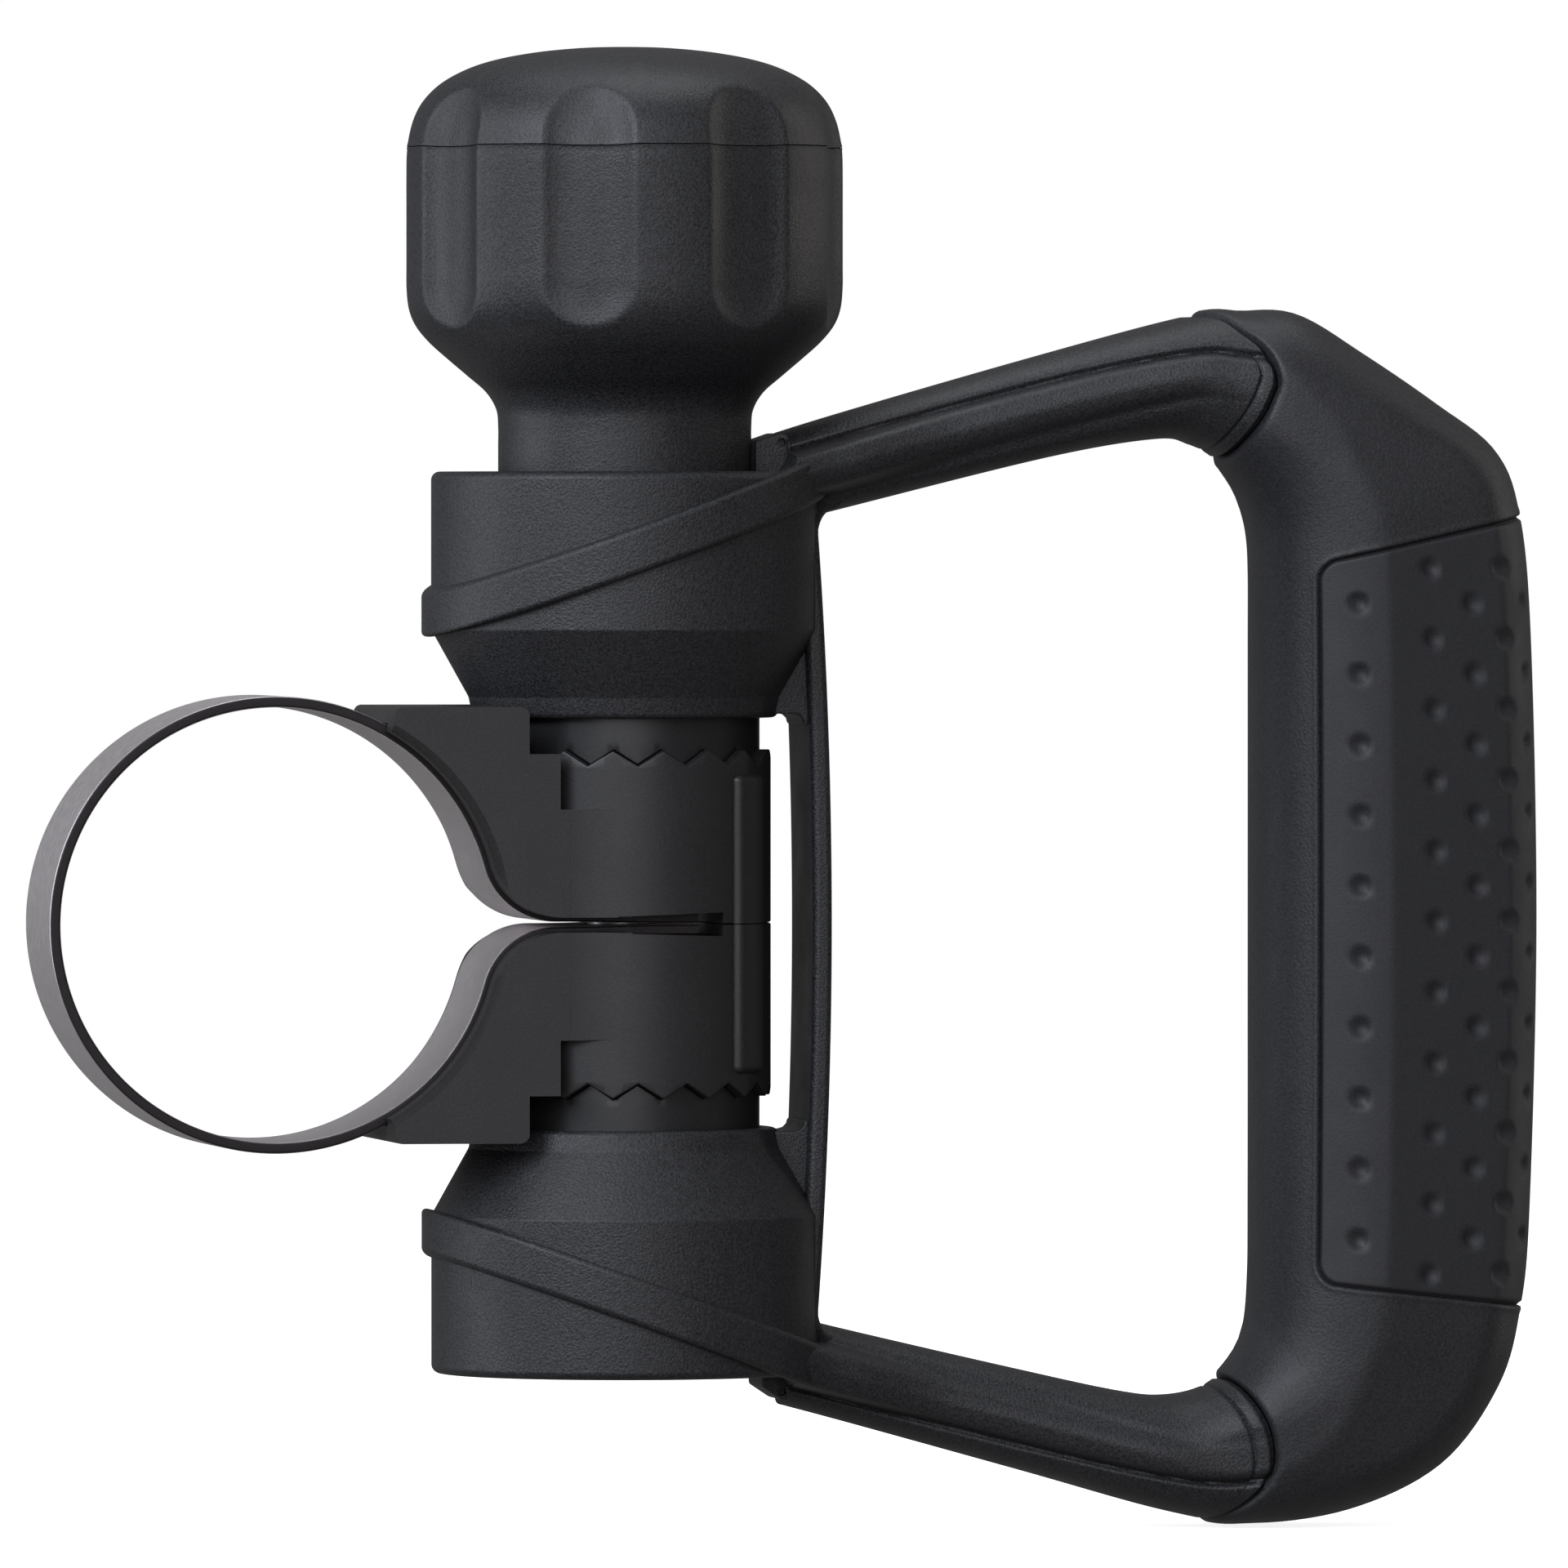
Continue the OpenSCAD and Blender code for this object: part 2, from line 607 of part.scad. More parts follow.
// Ribs that run on from the slanted collars and sink into the arms before the cover
module arm_ribs() {
  closed_rows(concat(
    [for (t = [0 : 0.5 : 4]) rib_row(t, rail_proud)],
    [rib_row(4.6, 0), rib_row(5.2, -0.8)]
  ));
  closed_rows(concat(
    [rib_row(16.4, -0.8), rib_row(17, 0)],
    [for (t = [17.5 : 0.5 : 21]) rib_row(t, rail_proud)]
  ));
}

// What is cut from an arm's root: the hub's bore, and a step on each flank beside it
module root_cut() {
  step_r = hub_bore + 2.4;
  flat = arm_w / 2 - 2;
  cylinder(r = hub_bore + bore_gap, h = frame_top);
  translate([0, 0, hub_end])
    difference() {
      cylinder(r = step_r, h = frame_top);
      cube([3 * step_r, 2 * flat, 3 * frame_top], center = true);
    }
}

// Web between a hub's cone and the strap, and the fillet between strap and arm
module hub_web() {
  fillet_r = 3;
  corner_x = hub_r + 0.1;
  corner_z = arm_low + 1.7;
  slab(strap_w - 4) {
    polygon([[hub_r - 5.6, hub_lip + 0.2], [hub_r + 0.2, hub_lip + 0.2], [hub_r + 0.2, hub_full + 1],
      [hub_r - 5.6, hub_full + 1]]);
    difference() {
      translate([corner_x - 0.5, corner_z - fillet_r]) square(fillet_r + 0.5);
      translate([corner_x + fillet_r, corner_z - fillet_r]) circle(fillet_r);
    }
  }
}

// The upper hub; the lower one is its mirror image
module hub_body() {
  rotate_extrude()
    polygon([[ring_bore, hub_lip], [ring_bore + 2, hub_lip], [ring_bore + 2.6, hub_lip + 2.8],
      [hub_r - 0.3, hub_full - 0.6], [hub_r, hub_full + 0.4], [hub_r, hub_end - 0.8], [hub_r - 0.8, hub_end],
      [hub_bore, hub_end], [hub_bore, shoulder_z - run_gap], [ring_bore, shoulder_z - run_gap]]);
  intersection() {
    difference() {
      cylinder(r = hub_r + rib_proud, h = hub_end + 2);
      translate([0, 0, -1]) cylinder(r = hub_r - 1, h = hub_end + 4);
    }
    translate([0, 0, hub_end - 9.6])
      rotate([0, -rib_tilt, 0]) cube([3 * hub_r, 3 * hub_r, rib_w], center = true);
  }
}

// Bowed strap between the hubs
module strap() {
  half = hub_end - 5;
  bow_r = (half * half + strap_bow * strap_bow) / (2 * strap_bow);
  out = hub_r + strap_bow;
  intersection() {
    slab(strap_w)
      difference() {
        translate([out - bow_r, 0]) circle(bow_r, $fn = 720);
        translate([out - bow_r, 0]) circle(bow_r - strap_t, $fn = 720);
      }
    translate([0, -strap_w, -half]) cube([2 * hub_r, 2 * strap_w, 2 * half]);
  }
}

module frame() {
  color("#37373a") at_bolt()
    union() {
      difference() {
        union() {
          frame_loop();
          arm_ribs();
        }
        root_cut();
        mirror([0, 0, 1]) root_cut();
      }
      hub_body();
      mirror([0, 0, 1]) hub_body();
      hub_web();
      mirror([0, 0, 1]) hub_web();
      strap();
    }
}

// Depth of the cover's outer skin, sunk where the inlay lies
function cover_depth(angle) =
  let (limit = inlay_angle - edge_angle / 2)
  angle < limit || angle > 360 - limit ? inlay_t : 0;

module grip_cover() {
  upper = [for (k = [0 : corner_rows])
    [for (a = angles) skin(between(upper_seam(a) + seam_step, top_edge, k / corner_rows), a, 0)]];
  pocket = [for (k = [0 : inlay_rows])
    let (t = between(top_edge + edge_t, low_edge - edge_t, k / inlay_rows))
    [for (a = angles) skin(t, a, cover_depth(a))]];
  lower = [for (k = [0 : corner_rows])
    [for (a = angles) skin(between(low_edge, lower_seam(a) - seam_step, k / corner_rows), a, 0)]];
  inner_low = [for (k = [0 : corner_rows - 1])
    [for (a = angles) skin(between(lower_seam(a) - seam_end, low_edge, k / corner_rows), a, cover_t)]];
  inner_mid = [for (t = [low_edge : -1 : top_edge]) [for (a = angles) skin(t, a, cover_t)]];
  inner_up = [for (k = [1 : corner_rows])
    [for (a = angles) skin(between(top_edge, upper_seam(a) + seam_end, k / corner_rows), a, cover_t)]];
  color("#2f2f33") at_bolt() tube_rows(concat(upper, pocket, lower, inner_low, inner_mid, inner_up));
}

// Dimpled inlay let into the cover's outer side
module grip_inlay() {
  play = 0.004;
  reach = [for (a = angles) if (a <= inlay_angle - edge_angle) a];
  arc = concat([for (i = [len(reach) - 1 : -1 : 1]) -reach[i] + (i == len(reach) - 1 ? 0.3 : 0)],
    [for (i = [0 : len(reach) - 1]) reach[i] - (i == len(reach) - 1 ? 0.3 : 0)]);
  color("#3a3a3e") at_bolt()
    closed_rows([for (k = [0 : inlay_rows])
      let (t = between(top_edge + edge_t + play, low_edge - edge_t - play, k / inlay_rows))
      concat(
        [for (a = arc) skin(t, a, 0)],
        [for (i = [len(arc) - 1 : -1 : 0]) skin(t, arc[i], inlay_t - run_gap)]
      )], bent = true);
}

frame();
grip_cover();
grip_inlay();
knob();
knob_cap();
threaded_bush();
thrust_washer();
clamp_bolt();
stop_nut();
upper_ring();
lower_ring();
upper_jaw();
lower_jaw();
clamp_band();
upper_spring();
lower_spring();
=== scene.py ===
# %% [markdown]
# # The side handle of a rotary hammer
#
# The handle is a D of glass-filled plastic with a soft grip. Two hubs on its straight side hold a
# clamp bolt with a large fluted knob, and two toothed jaws that pull a steel band round the tool.
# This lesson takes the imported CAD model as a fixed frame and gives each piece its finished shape
# and surface. Lengths are in metres, and the origin is the centre of the collar that the band
# closes round, with +Z up along the bolt.

# %% Load the frame
import math
import bpy
from mathutils import Matrix, Vector


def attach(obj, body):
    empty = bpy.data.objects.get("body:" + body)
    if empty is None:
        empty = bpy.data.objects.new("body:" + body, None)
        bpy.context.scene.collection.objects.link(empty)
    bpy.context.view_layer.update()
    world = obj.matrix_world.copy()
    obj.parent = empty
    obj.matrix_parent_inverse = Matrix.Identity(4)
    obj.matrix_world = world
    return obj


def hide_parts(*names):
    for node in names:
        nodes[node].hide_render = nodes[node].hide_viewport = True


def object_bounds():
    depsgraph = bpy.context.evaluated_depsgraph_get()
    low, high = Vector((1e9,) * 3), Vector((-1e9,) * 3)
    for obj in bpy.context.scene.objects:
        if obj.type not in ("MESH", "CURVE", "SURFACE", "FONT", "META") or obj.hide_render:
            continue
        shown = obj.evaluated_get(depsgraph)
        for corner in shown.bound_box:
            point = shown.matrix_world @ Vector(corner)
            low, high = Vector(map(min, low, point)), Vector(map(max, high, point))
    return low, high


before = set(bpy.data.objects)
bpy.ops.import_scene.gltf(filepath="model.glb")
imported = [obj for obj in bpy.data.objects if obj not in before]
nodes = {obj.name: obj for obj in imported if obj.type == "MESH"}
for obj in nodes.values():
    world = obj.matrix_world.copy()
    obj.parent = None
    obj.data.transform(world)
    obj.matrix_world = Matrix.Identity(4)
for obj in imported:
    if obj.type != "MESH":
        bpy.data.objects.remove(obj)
cad_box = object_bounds()
bpy.ops.object.select_all(action="DESELECT")
print("nodes:", ", ".join(sorted(nodes)))
print("CAD box:", [round(v, 4) for corner in cad_box for v in corner])

# %% [markdown]
# ## Measures
#
# Every drawing dimension of the handle starts at the bolt: radii go out from its axis, and heights
# up and down from the split between the jaws. The helpers below take such millimetres and give
# metres in the frame, so a number in a cell can be checked against a drawing.

# %% Measures from the bolt
mm = 0.001
bolt_x = 0.049
collar_x, collar_r = -49, 29
hub_r, hub_bore, hub_end = 26.0, 19.8, 60.5
ring_r, sleeve_r, tooth_z = 18.1, 19.6, 22.2
knob_r, cap_z, knob_top = 29.35, 104.0, 117.45


def at_bolt(x, y, z):
    return Vector((bolt_x + x * mm, y * mm, z * mm))


def smooth(low, high, x):
    """Share from 0 to 1 as x goes from low to high, with soft ends"""
    f = max(0.0, min(1.0, (x - low) / (high - low)))
    return f * f * (3 - 2 * f)


def swell(x, middle, width):
    return math.exp(-((x - middle) / width) ** 2)


print("bolt axis at x =", bolt_x)

# %% [markdown]
# ## Finishes
#
# All the mouldings are black, yet no two of them shine alike. The frame is glass-filled nylon from a
# spark-eroded mould, so its skin is a fine pebble that breaks up every highlight, and the knob's is
# nearly as coarse. The jaws and rings come from finer moulds and look satin. Cover and inlay are a
# soft rubber, duller than the rest. Object coordinates keep the grain at its real size on every
# piece. A few nodes come back in each recipe, so they have helpers of their own.

# %% Nodes that the recipes share
def new_material(name, colour):
    """Material with its tree, its shader and the place on the piece that patterns start from"""
    material = bpy.data.materials.new(name)
    material.use_nodes = True
    material.diffuse_color = (*colour, 1)
    tree = material.node_tree
    place = tree.nodes.new("ShaderNodeTexCoord").outputs["Object"]
    return material, tree, tree.nodes["Principled BSDF"], place


def set_inputs(node, values):
    for socket, value in values.items():
        node.inputs[socket].default_value = value


def noise(tree, place, size, detail, distortion=0.0):
    node = tree.nodes.new("ShaderNodeTexNoise")
    set_inputs(node, {"Scale": 1.0 / size, "Detail": detail, "Distortion": distortion})
    tree.links.new(place, node.inputs["Vector"])
    return node.outputs["Fac"]


def spread(tree, source, old, new):
    """Values between two old limits, spread between two new ones"""
    node = tree.nodes.new("ShaderNodeMapRange")
    set_inputs(node, {"From Min": old[0], "From Max": old[1], "To Min": new[0], "To Max": new[1]})
    tree.links.new(source, node.inputs["Value"])
    return node.outputs["Result"]


def shades(tree, factor, first, second):
    """Mix of two colours, of which the first may come from another node"""
    node = tree.nodes.new("ShaderNodeMix")
    node.data_type = "RGBA"
    tree.links.new(factor, node.inputs["Factor"])
    if isinstance(first, bpy.types.NodeSocket):
        tree.links.new(first, node.inputs["A"])
    else:
        node.inputs["A"].default_value = (*first, 1)
    node.inputs["B"].default_value = (*second, 1)
    return node.outputs["Result"]


def bump(tree, shader, height, strength, distance):
    node = tree.nodes.new("ShaderNodeBump")
    set_inputs(node, {"Strength": strength, "Distance": distance})
    tree.links.new(height, node.inputs["Height"])
    tree.links.new(node.outputs["Normal"], shader.inputs["Normal"])


print("node helpers ready")

# %% [markdown]
# One recipe serves all the mouldings: a fine noise for the mould's pebble, which also mottles the
# colour, and a broader one that makes the roughness wander. A noise keeps mostly to the middle of
# its range, so that middle is what gets spread.

# %% Recipe for a moulded surface
noise_middle = (0.3, 0.7)
patch_size = 9 * mm


def moulded(name, colour, roughness, grain, depth, mottle=0.25):
    """Plastic or rubber whose pebble has a given size and depth"""
    material, tree, shader, place = new_material(name, colour)
    pebble = noise(tree, place, grain, 3.0)
    patches = noise(tree, place, patch_size, 3.0, 0.4)
    dark, light = [c * (1 - mottle) for c in colour], [c * (1 + mottle) for c in colour]
    tones = shades(tree, spread(tree, pebble, noise_middle, (0.0, 1.0)), dark, light)
    tree.links.new(tones, shader.inputs["Base Color"])
    wander = spread(tree, patches, noise_middle, (roughness - 0.05, roughness + 0.06))
    tree.links.new(wander, shader.inputs["Roughness"])
    bump(tree, shader, pebble, 1.0, depth)
    return material


frame_plastic = moulded("frame_plastic", (0.017, 0.017, 0.0195), 0.46, 0.32 * mm, 0.11 * mm, 0.9)
knob_plastic = moulded("knob_plastic", (0.017, 0.017, 0.0195), 0.45, 0.32 * mm, 0.08 * mm, 0.9)
jaw_plastic = moulded("jaw_plastic", (0.017, 0.016, 0.017), 0.46, 0.35 * mm, 0.016 * mm)
ring_plastic = moulded("ring_plastic", (0.012, 0.012, 0.013), 0.38, 0.35 * mm, 0.008 * mm)
grip_rubber = moulded("grip_rubber", (0.018, 0.018, 0.021), 0.50, 0.36 * mm, 0.07 * mm, 0.5)
inlay_rubber = moulded("inlay_rubber", (0.018, 0.018, 0.021), 0.56, 0.30 * mm, 0.025 * mm)
print("moulded finishes ready")

# %% [markdown]
# The band is spring steel with the grain that rolling leaves along it. A noise that is stretched along
# the band's run gives that grain. The outermost tenth of a millimetre at each of the strip's edges
# is coloured near black.

# %% Recipe for the metal parts
band_half, edge_black = 12, (0.035, 0.032, 0.033)


def metal(name, colour, roughness, stretch=(1, 1, 1), grain=0.6 * mm, edge=None):
    """Metal with a grain, and with dark edges where half a strip's width is given"""
    material, tree, shader, place = new_material(name, colour)
    shader.inputs["Metallic"].default_value = 1.0
    mapping = tree.nodes.new("ShaderNodeMapping")
    mapping.inputs["Scale"].default_value = stretch
    tree.links.new(place, mapping.inputs["Vector"])
    rolled = noise(tree, mapping.outputs["Vector"], grain, 4.0)
    wander = spread(tree, rolled, (0, 1), (roughness - 0.1, roughness + 0.12))
    tree.links.new(wander, shader.inputs["Roughness"])
    tint = shades(tree, rolled, [c * 0.8 for c in colour], [min(1, c * 1.15) for c in colour])
    if edge:
        parts = tree.nodes.new("ShaderNodeSeparateXYZ")
        tree.links.new(place, parts.inputs["Vector"])
        side = tree.nodes.new("ShaderNodeMath")
        side.operation = "ABSOLUTE"
        tree.links.new(parts.outputs["Y"], side.inputs[0])
        near = spread(tree, side.outputs["Value"], (edge - 0.15 * mm, edge - 0.05 * mm), (0, 1))
        tint = shades(tree, near, tint, edge_black)
    tree.links.new(tint, shader.inputs["Base Color"])
    bump(tree, shader, rolled, 0.5, 0.01 * mm)
    return material


band_steel = metal("band_steel", (0.78, 0.735, 0.745), 0.42, (0.35, 1, 0.35), 0.45 * mm, band_half * mm)
zinc_steel = metal("zinc_steel", (0.55, 0.56, 0.58), 0.35)
spring_steel = metal("spring_steel", (0.40, 0.40, 0.42), 0.32)
bush_brass = metal("bush_brass", (0.70, 0.55, 0.28), 0.36)
print("metal finishes ready")

# %% [markdown]
# ## Ways of making a piece
#
# Three ways cover nearly the whole handle. A turned piece, such as a hub or the knob, is an outline
# spun round the bolt. A wrapped piece, such as an arm or the grip, is a flat grid whose rows are
# laid round the form one after another, as a sleeve is pulled over an arm. A flat piece, such as a
# jaw, is a side view extruded along the collar. Booleans then cut the bores and slits, and a narrow
# bevel breaks the edges, because no moulded edge is truly sharp and the light shows it.

# %% Tools for outlines and turned pieces
def only(piece):
    bpy.ops.object.select_all(action="DESELECT")
    piece.select_set(True)
    bpy.context.view_layer.objects.active = piece
    return piece


def new_piece(name, points, edges=(), faces=()):
    mesh = bpy.data.meshes.new(name)
    mesh.from_pydata(points, edges, faces)
    piece = bpy.data.objects.new(name, mesh)
    bpy.context.scene.collection.objects.link(piece)
    return only(piece)


def eased(points, steps=5):
    """Outline whose rows of x, y and radius have their corners rounded by that radius"""
    out = []
    for i, (x, y, radius) in enumerate(points):
        corner = Vector((x, y))
        if radius == 0:
            out.append((x, y))
            continue
        before = (Vector(points[i - 1][:2]) - corner).normalized()
        after = (Vector(points[(i + 1) % len(points)][:2]) - corner).normalized()
        half = before.angle(after) / 2
        centre = corner + (before + after).normalized() * radius / math.sin(half)
        start = corner + before * radius / math.tan(half) - centre
        end = corner + after * radius / math.tan(half) - centre
        for k in range(steps + 1):
            out.append(tuple(centre + start.lerp(end, k / steps).normalized() * radius))
    return out


def arc(x, z, radius, start, end, steps):
    """Points of a side view on an arc from one angle in degrees to another"""
    angles = (math.radians(start + (end - start) * k / steps) for k in range(steps + 1))
    return [(x + radius * math.cos(a), z + radius * math.sin(a)) for a in angles]


def weld(piece):
    """Merge doubled points and turn all faces outward"""
    only(piece)
    bpy.ops.object.mode_set(mode="EDIT")
    bpy.ops.mesh.select_all(action="SELECT")
    bpy.ops.mesh.remove_doubles(threshold=1e-7)
    bpy.ops.mesh.normals_make_consistent(inside=False)
    bpy.ops.object.mode_set(mode="OBJECT")
    return piece


def turned(name, outline, steps=192):
    """Spin a closed outline of radii and heights round the bolt"""
    count = len(outline)
    edges = [(i, (i + 1) % count) for i in range(count)]
    off_axis = [(i, j) for i, j in edges if outline[i][0] + outline[j][0] > 0]
    new_piece(name, [at_bolt(r, 0, z) for r, z in outline], off_axis)
    bpy.ops.object.mode_set(mode="EDIT")
    bpy.ops.mesh.select_all(action="SELECT")
    bpy.ops.mesh.spin(steps=steps, angle=2 * math.pi, center=at_bolt(0, 0, 0), axis=(0, 0, 1))
    bpy.ops.object.mode_set(mode="OBJECT")
    return weld(bpy.context.active_object)


def rod(name, radius, low, high, steps=192):
    """Plain rod on the bolt's axis"""
    return turned(name, [(0, low), (radius, low), (radius, high), (0, high)], steps)


print("tools for turned pieces ready")

# %% Tools for wrapped and extruded pieces
def new_grid(name, across, down):
    """Flat grid of faces, and its points row by row"""
    bpy.ops.object.select_all(action="DESELECT")
    bpy.ops.mesh.primitive_grid_add(x_subdivisions=across, y_subdivisions=down, size=1)
    piece = bpy.context.active_object
    piece.name = piece.data.name = name
    return piece, sorted(piece.data.vertices, key=lambda v: (round(v.co.y, 5), round(v.co.x, 5)))


def wrapped(name, rows, tube=False):
    """Lay a grid's rows round a form; a tube's last row joins its first, or else both ends are closed"""
    rows = rows + [rows[0]] if tube else rows
    across = len(rows[0])
    piece, verts = new_grid(name, across, len(rows) - 1)
    for k, vert in enumerate(verts):
        row, column = divmod(k, across + 1)
        vert.co = rows[row][column % across]
    weld(piece)
    if not tube:
        bpy.ops.object.mode_set(mode="EDIT")
        bpy.ops.mesh.select_all(action="SELECT")
        bpy.ops.mesh.fill_holes(sides=0)
        bpy.ops.mesh.normals_make_consistent(inside=False)
        bpy.ops.object.mode_set(mode="OBJECT")
    return piece


def block_from(name, face, way):
    """Block made from a flat face that is extruded by a way in millimetres"""
    new_piece(name, face, faces=[list(range(len(face)))])
    bpy.ops.object.mode_set(mode="EDIT")
    bpy.ops.mesh.select_all(action="SELECT")
    bpy.ops.mesh.extrude_region_move(TRANSFORM_OT_translate={"value": [v * mm for v in way]})
    bpy.ops.object.mode_set(mode="OBJECT")
    return weld(bpy.context.active_object)


def extruded(name, outline, width):
    """Extrude a side view of x and height along the collar, with its middle on the handle's plane"""
    return block_from(name, [at_bolt(x, -width / 2, z) for x, z in outline], (0, width, 0))


print("tools for wrapped and extruded pieces ready")

# %% Tools for cutting, joining and finishing
def combine(piece, other, how="DIFFERENCE"):
    """Cut a piece with another, or keep what they share, and use the other one up"""
    only(piece)
    step = piece.modifiers.new(how, "BOOLEAN")
    step.operation = how
    step.solver = "EXACT"
    step.object = other
    bpy.ops.object.modifier_apply(modifier=step.name)
    bpy.data.objects.remove(other)
    return piece


def joined(piece, others):
    only(piece)
    for other in others:
        other.select_set(True)
    bpy.ops.object.join()
    return piece


def broken_edges(piece, width, angle=32, segments=2):
    only(piece)
    step = piece.modifiers.new("broken edges", "BEVEL")
    step.width = width * mm
    step.segments = segments
    step.limit_method = "ANGLE"
    step.angle_limit = math.radians(angle)
    bpy.ops.object.modifier_apply(modifier=step.name)
    return piece


def finished(piece, material, body, stands_for, angle=35):
    only(piece)
    bpy.ops.object.shade_smooth_by_angle(angle=math.radians(angle))
    step = piece.modifiers.new("face normals", "WEIGHTED_NORMAL")
    step.keep_sharp = True
    bpy.ops.object.modifier_apply(modifier=step.name)
    piece.data.materials.clear()
    piece.data.materials.append(material)
    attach(piece, body)
    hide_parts(stands_for)
    print(piece.name, "has", len(piece.data.polygons), "faces")
    return piece


print("tools for finishing ready")

# %% [markdown]
# ## The D
#
# Arms, corners and grip are one flowing form whose section changes all the way round. It is drawn as
# 22 sections, each with the point on its outer side, the point on its inner side, half its width
# and how square its corners are. A smooth curve through these numbers gives a section anywhere.
# The same form carries the frame, the soft cover and the inlay, each at its own depth, so they meet
# exactly.

# %% Sections round the D
sections = [
    (14, 63.6, 14, 51.6, 8.2, 2.6), (28, 68.0, 29, 55.4, 9, 2.6), (54.5, 75.6, 57.5, 62.4, 10, 2.6),
    (76, 81.3, 72.5, 64.9, 12, 2.6), (84, 82.2, 77.5, 64.1, 13, 2.5), (91.5, 81.8, 81, 62.2, 14, 2.5),
    (100.5, 76.5, 83.3, 59.2, 15, 2.5), (110.5, 69.8, 84.6, 55.8, 15.7, 2.5),
    (118.6, 63.5, 85.5, 52, 16.3, 2.5), (122.0, 55, 85.8, 47, 16.5, 2.5),
    (123.6, 38, 85.8, 36, 16.5, 2.5), (124.4, 0, 85.8, 0, 16.5, 2.5), (123.5, -38, 85.8, -36, 16.5, 2.5),
    (122.2, -52.4, 85.7, -48.2, 16.5, 2.5), (119.2, -63, 85, -55.2, 16.1, 2.5),
    (111.5, -73.4, 83, -59.8, 15.3, 2.5), (99.5, -79.4, 79.5, -62.8, 14, 2.5),
    (86, -81.4, 74, -64, 12, 2.6), (74, -79.7, 67.5, -63.4, 11.5, 2.6),
    (53.7, -74, 53.3, -60.3, 10, 2.6), (28, -66.8, 29, -54.6, 9, 2.6), (14, -63.1, 14, -50.8, 8.2, 2.6),
]
last = len(sections) - 1


def spline(a, b, c, d, f):
    """Smooth curve's value a share f of the way from b to c, with a and d beyond them"""
    return b + 0.5 * f * ((c - a) + f * ((2 * a - 5 * b + 4 * c - d) + f * (3 * (b - c) + d - a)))


def section_at(t):
    """Section at a number t that counts along the sections, whole or not"""
    i = min(int(t), last - 1)
    rows = sections[max(i - 1, 0)], sections[i], sections[i + 1], sections[min(i + 2, last)]
    return [spline(*(row[k] for row in rows), t - i) for k in range(6)]


def rounded(v, n):
    """A cosine or sine, pushed outward to square a section's corners"""
    return math.copysign(abs(v) ** (2 / n), v)


print("D:", len(sections), "sections")

# %% [markdown]
# Two things lie on that form. The grip has a ridge along each flank where two planes meet, a little
# inward of the middle, and it swings outward at the corners. Each arm carries on the slanted
# collar of its hub as a rib, with a crisp groove on the outer side and a soft valley on the inner
# side that runs out before the cover.

# %% The skin of the D
def on_grip(t):
    """Share from 0 on the arms to 1 on the grip"""
    return smooth(3.6, 6.0, min(t, last + 1 - t))


def ridge_side(t, share, in_plane, wide):
    """Half the width that the two planes beside the ridge leave"""
    ridge = 0.35 - 0.53 * smooth(4.5, 8.0, min(t, last + 1 - t))
    slope = 0.19 if share > ridge else 0.09
    return wide - on_grip(t) * slope * abs(share - ridge) * in_plane


def arm_relief(t, high):
    """How proud the arm's flank is at a height above its middle line"""
    from_root = min(t, last - t)
    fade = smooth(4.2, 2.6, from_root)
    rib = 0.35 * smooth(-3.2, -2.0, high) * smooth(3.1, 2.6, high) * (0.3 + 0.7 * fade)
    groove = 1.05 * swell(high, 3.25, 0.62)
    valley = 0.55 * swell(high, -3.1, 1.1) * fade
    root = 4.2 * smooth(1.6, 0.85, from_root) + 4.5 * smooth(0.95, 0.45, from_root)
    flare = root * smooth(-4.0, -2.4, high) * smooth(3.5, 2.7, high)
    return rib + flare - groove - valley


def skin(t, turn, sink=0.0, relief=False):
    """Point on the D, sunk by a depth in millimetres"""
    ox, oz, ix, iz, wide, n = section_at(t)
    half_x, half_z = (ox - ix) / 2, (oz - iz) / 2
    in_plane = math.hypot(half_x, half_z)
    share, across = rounded(math.cos(turn), n), rounded(math.sin(turn), n)
    along = share * (in_plane - sink) / in_plane
    full = abs(across) * (wide - 0.9 * min(1, abs(share) / 0.6) * (1 - on_grip(t)))
    side = min(full, ridge_side(t, share, in_plane, wide)) * (wide - sink) / wide
    if relief:
        side += arm_relief(t, share * in_plane) * smooth(0.3, 0.75, abs(across))
    x, z = (ox + ix) / 2 + half_x * along, (oz + iz) / 2 + half_z * along
    return at_bolt(x, math.copysign(side, across), z)


def seam_share(turn):
    """Share from -1 on the D's inner side to 1 on its outer side"""
    return rounded(math.cos(turn), 2.5)


def upper_seam(turn):
    """Number t of the place where the cover begins on the upper arm"""
    share = seam_share(turn)
    return 5.0 - 1.9 * max(0, share) ** 1.5 + 0.14 * swell(share, -0.45, 0.5)


def lower_seam(turn):
    share = seam_share(turn)
    return 16.33 + 0.83 * share + 0.5 * max(0, share) ** 2


print("grip's middle:", [round(v, 4) for v in skin(11, math.pi / 2)])

# %% [markdown]
# ## The frame's arms and core
#
# Arms and core are one moulding that runs on under the soft cover. The cover's ends are slanted
# seams: the arm ends in a narrow flange, then drops into a fine groove and on to the core. A seam
# like this is what tells the eye that two materials meet, so its rows are laid at fixed distances
# from the seam line, tenths of a millimetre apart, while the long plain stretches have wide rows.

# %% Arms and core
def near_upper(turn, distance):
    """Value of t at a distance in millimetres before the upper seam"""
    # one step of t is 3.8 to 7.8 mm of skin
    return upper_seam(turn) - distance / (5.8 + 2.0 * seam_share(turn))


def near_lower(turn, distance):
    # and here 4.8 to 12.4 mm
    return lower_seam(turn) + distance / (8.6 + 3.8 * seam_share(turn))


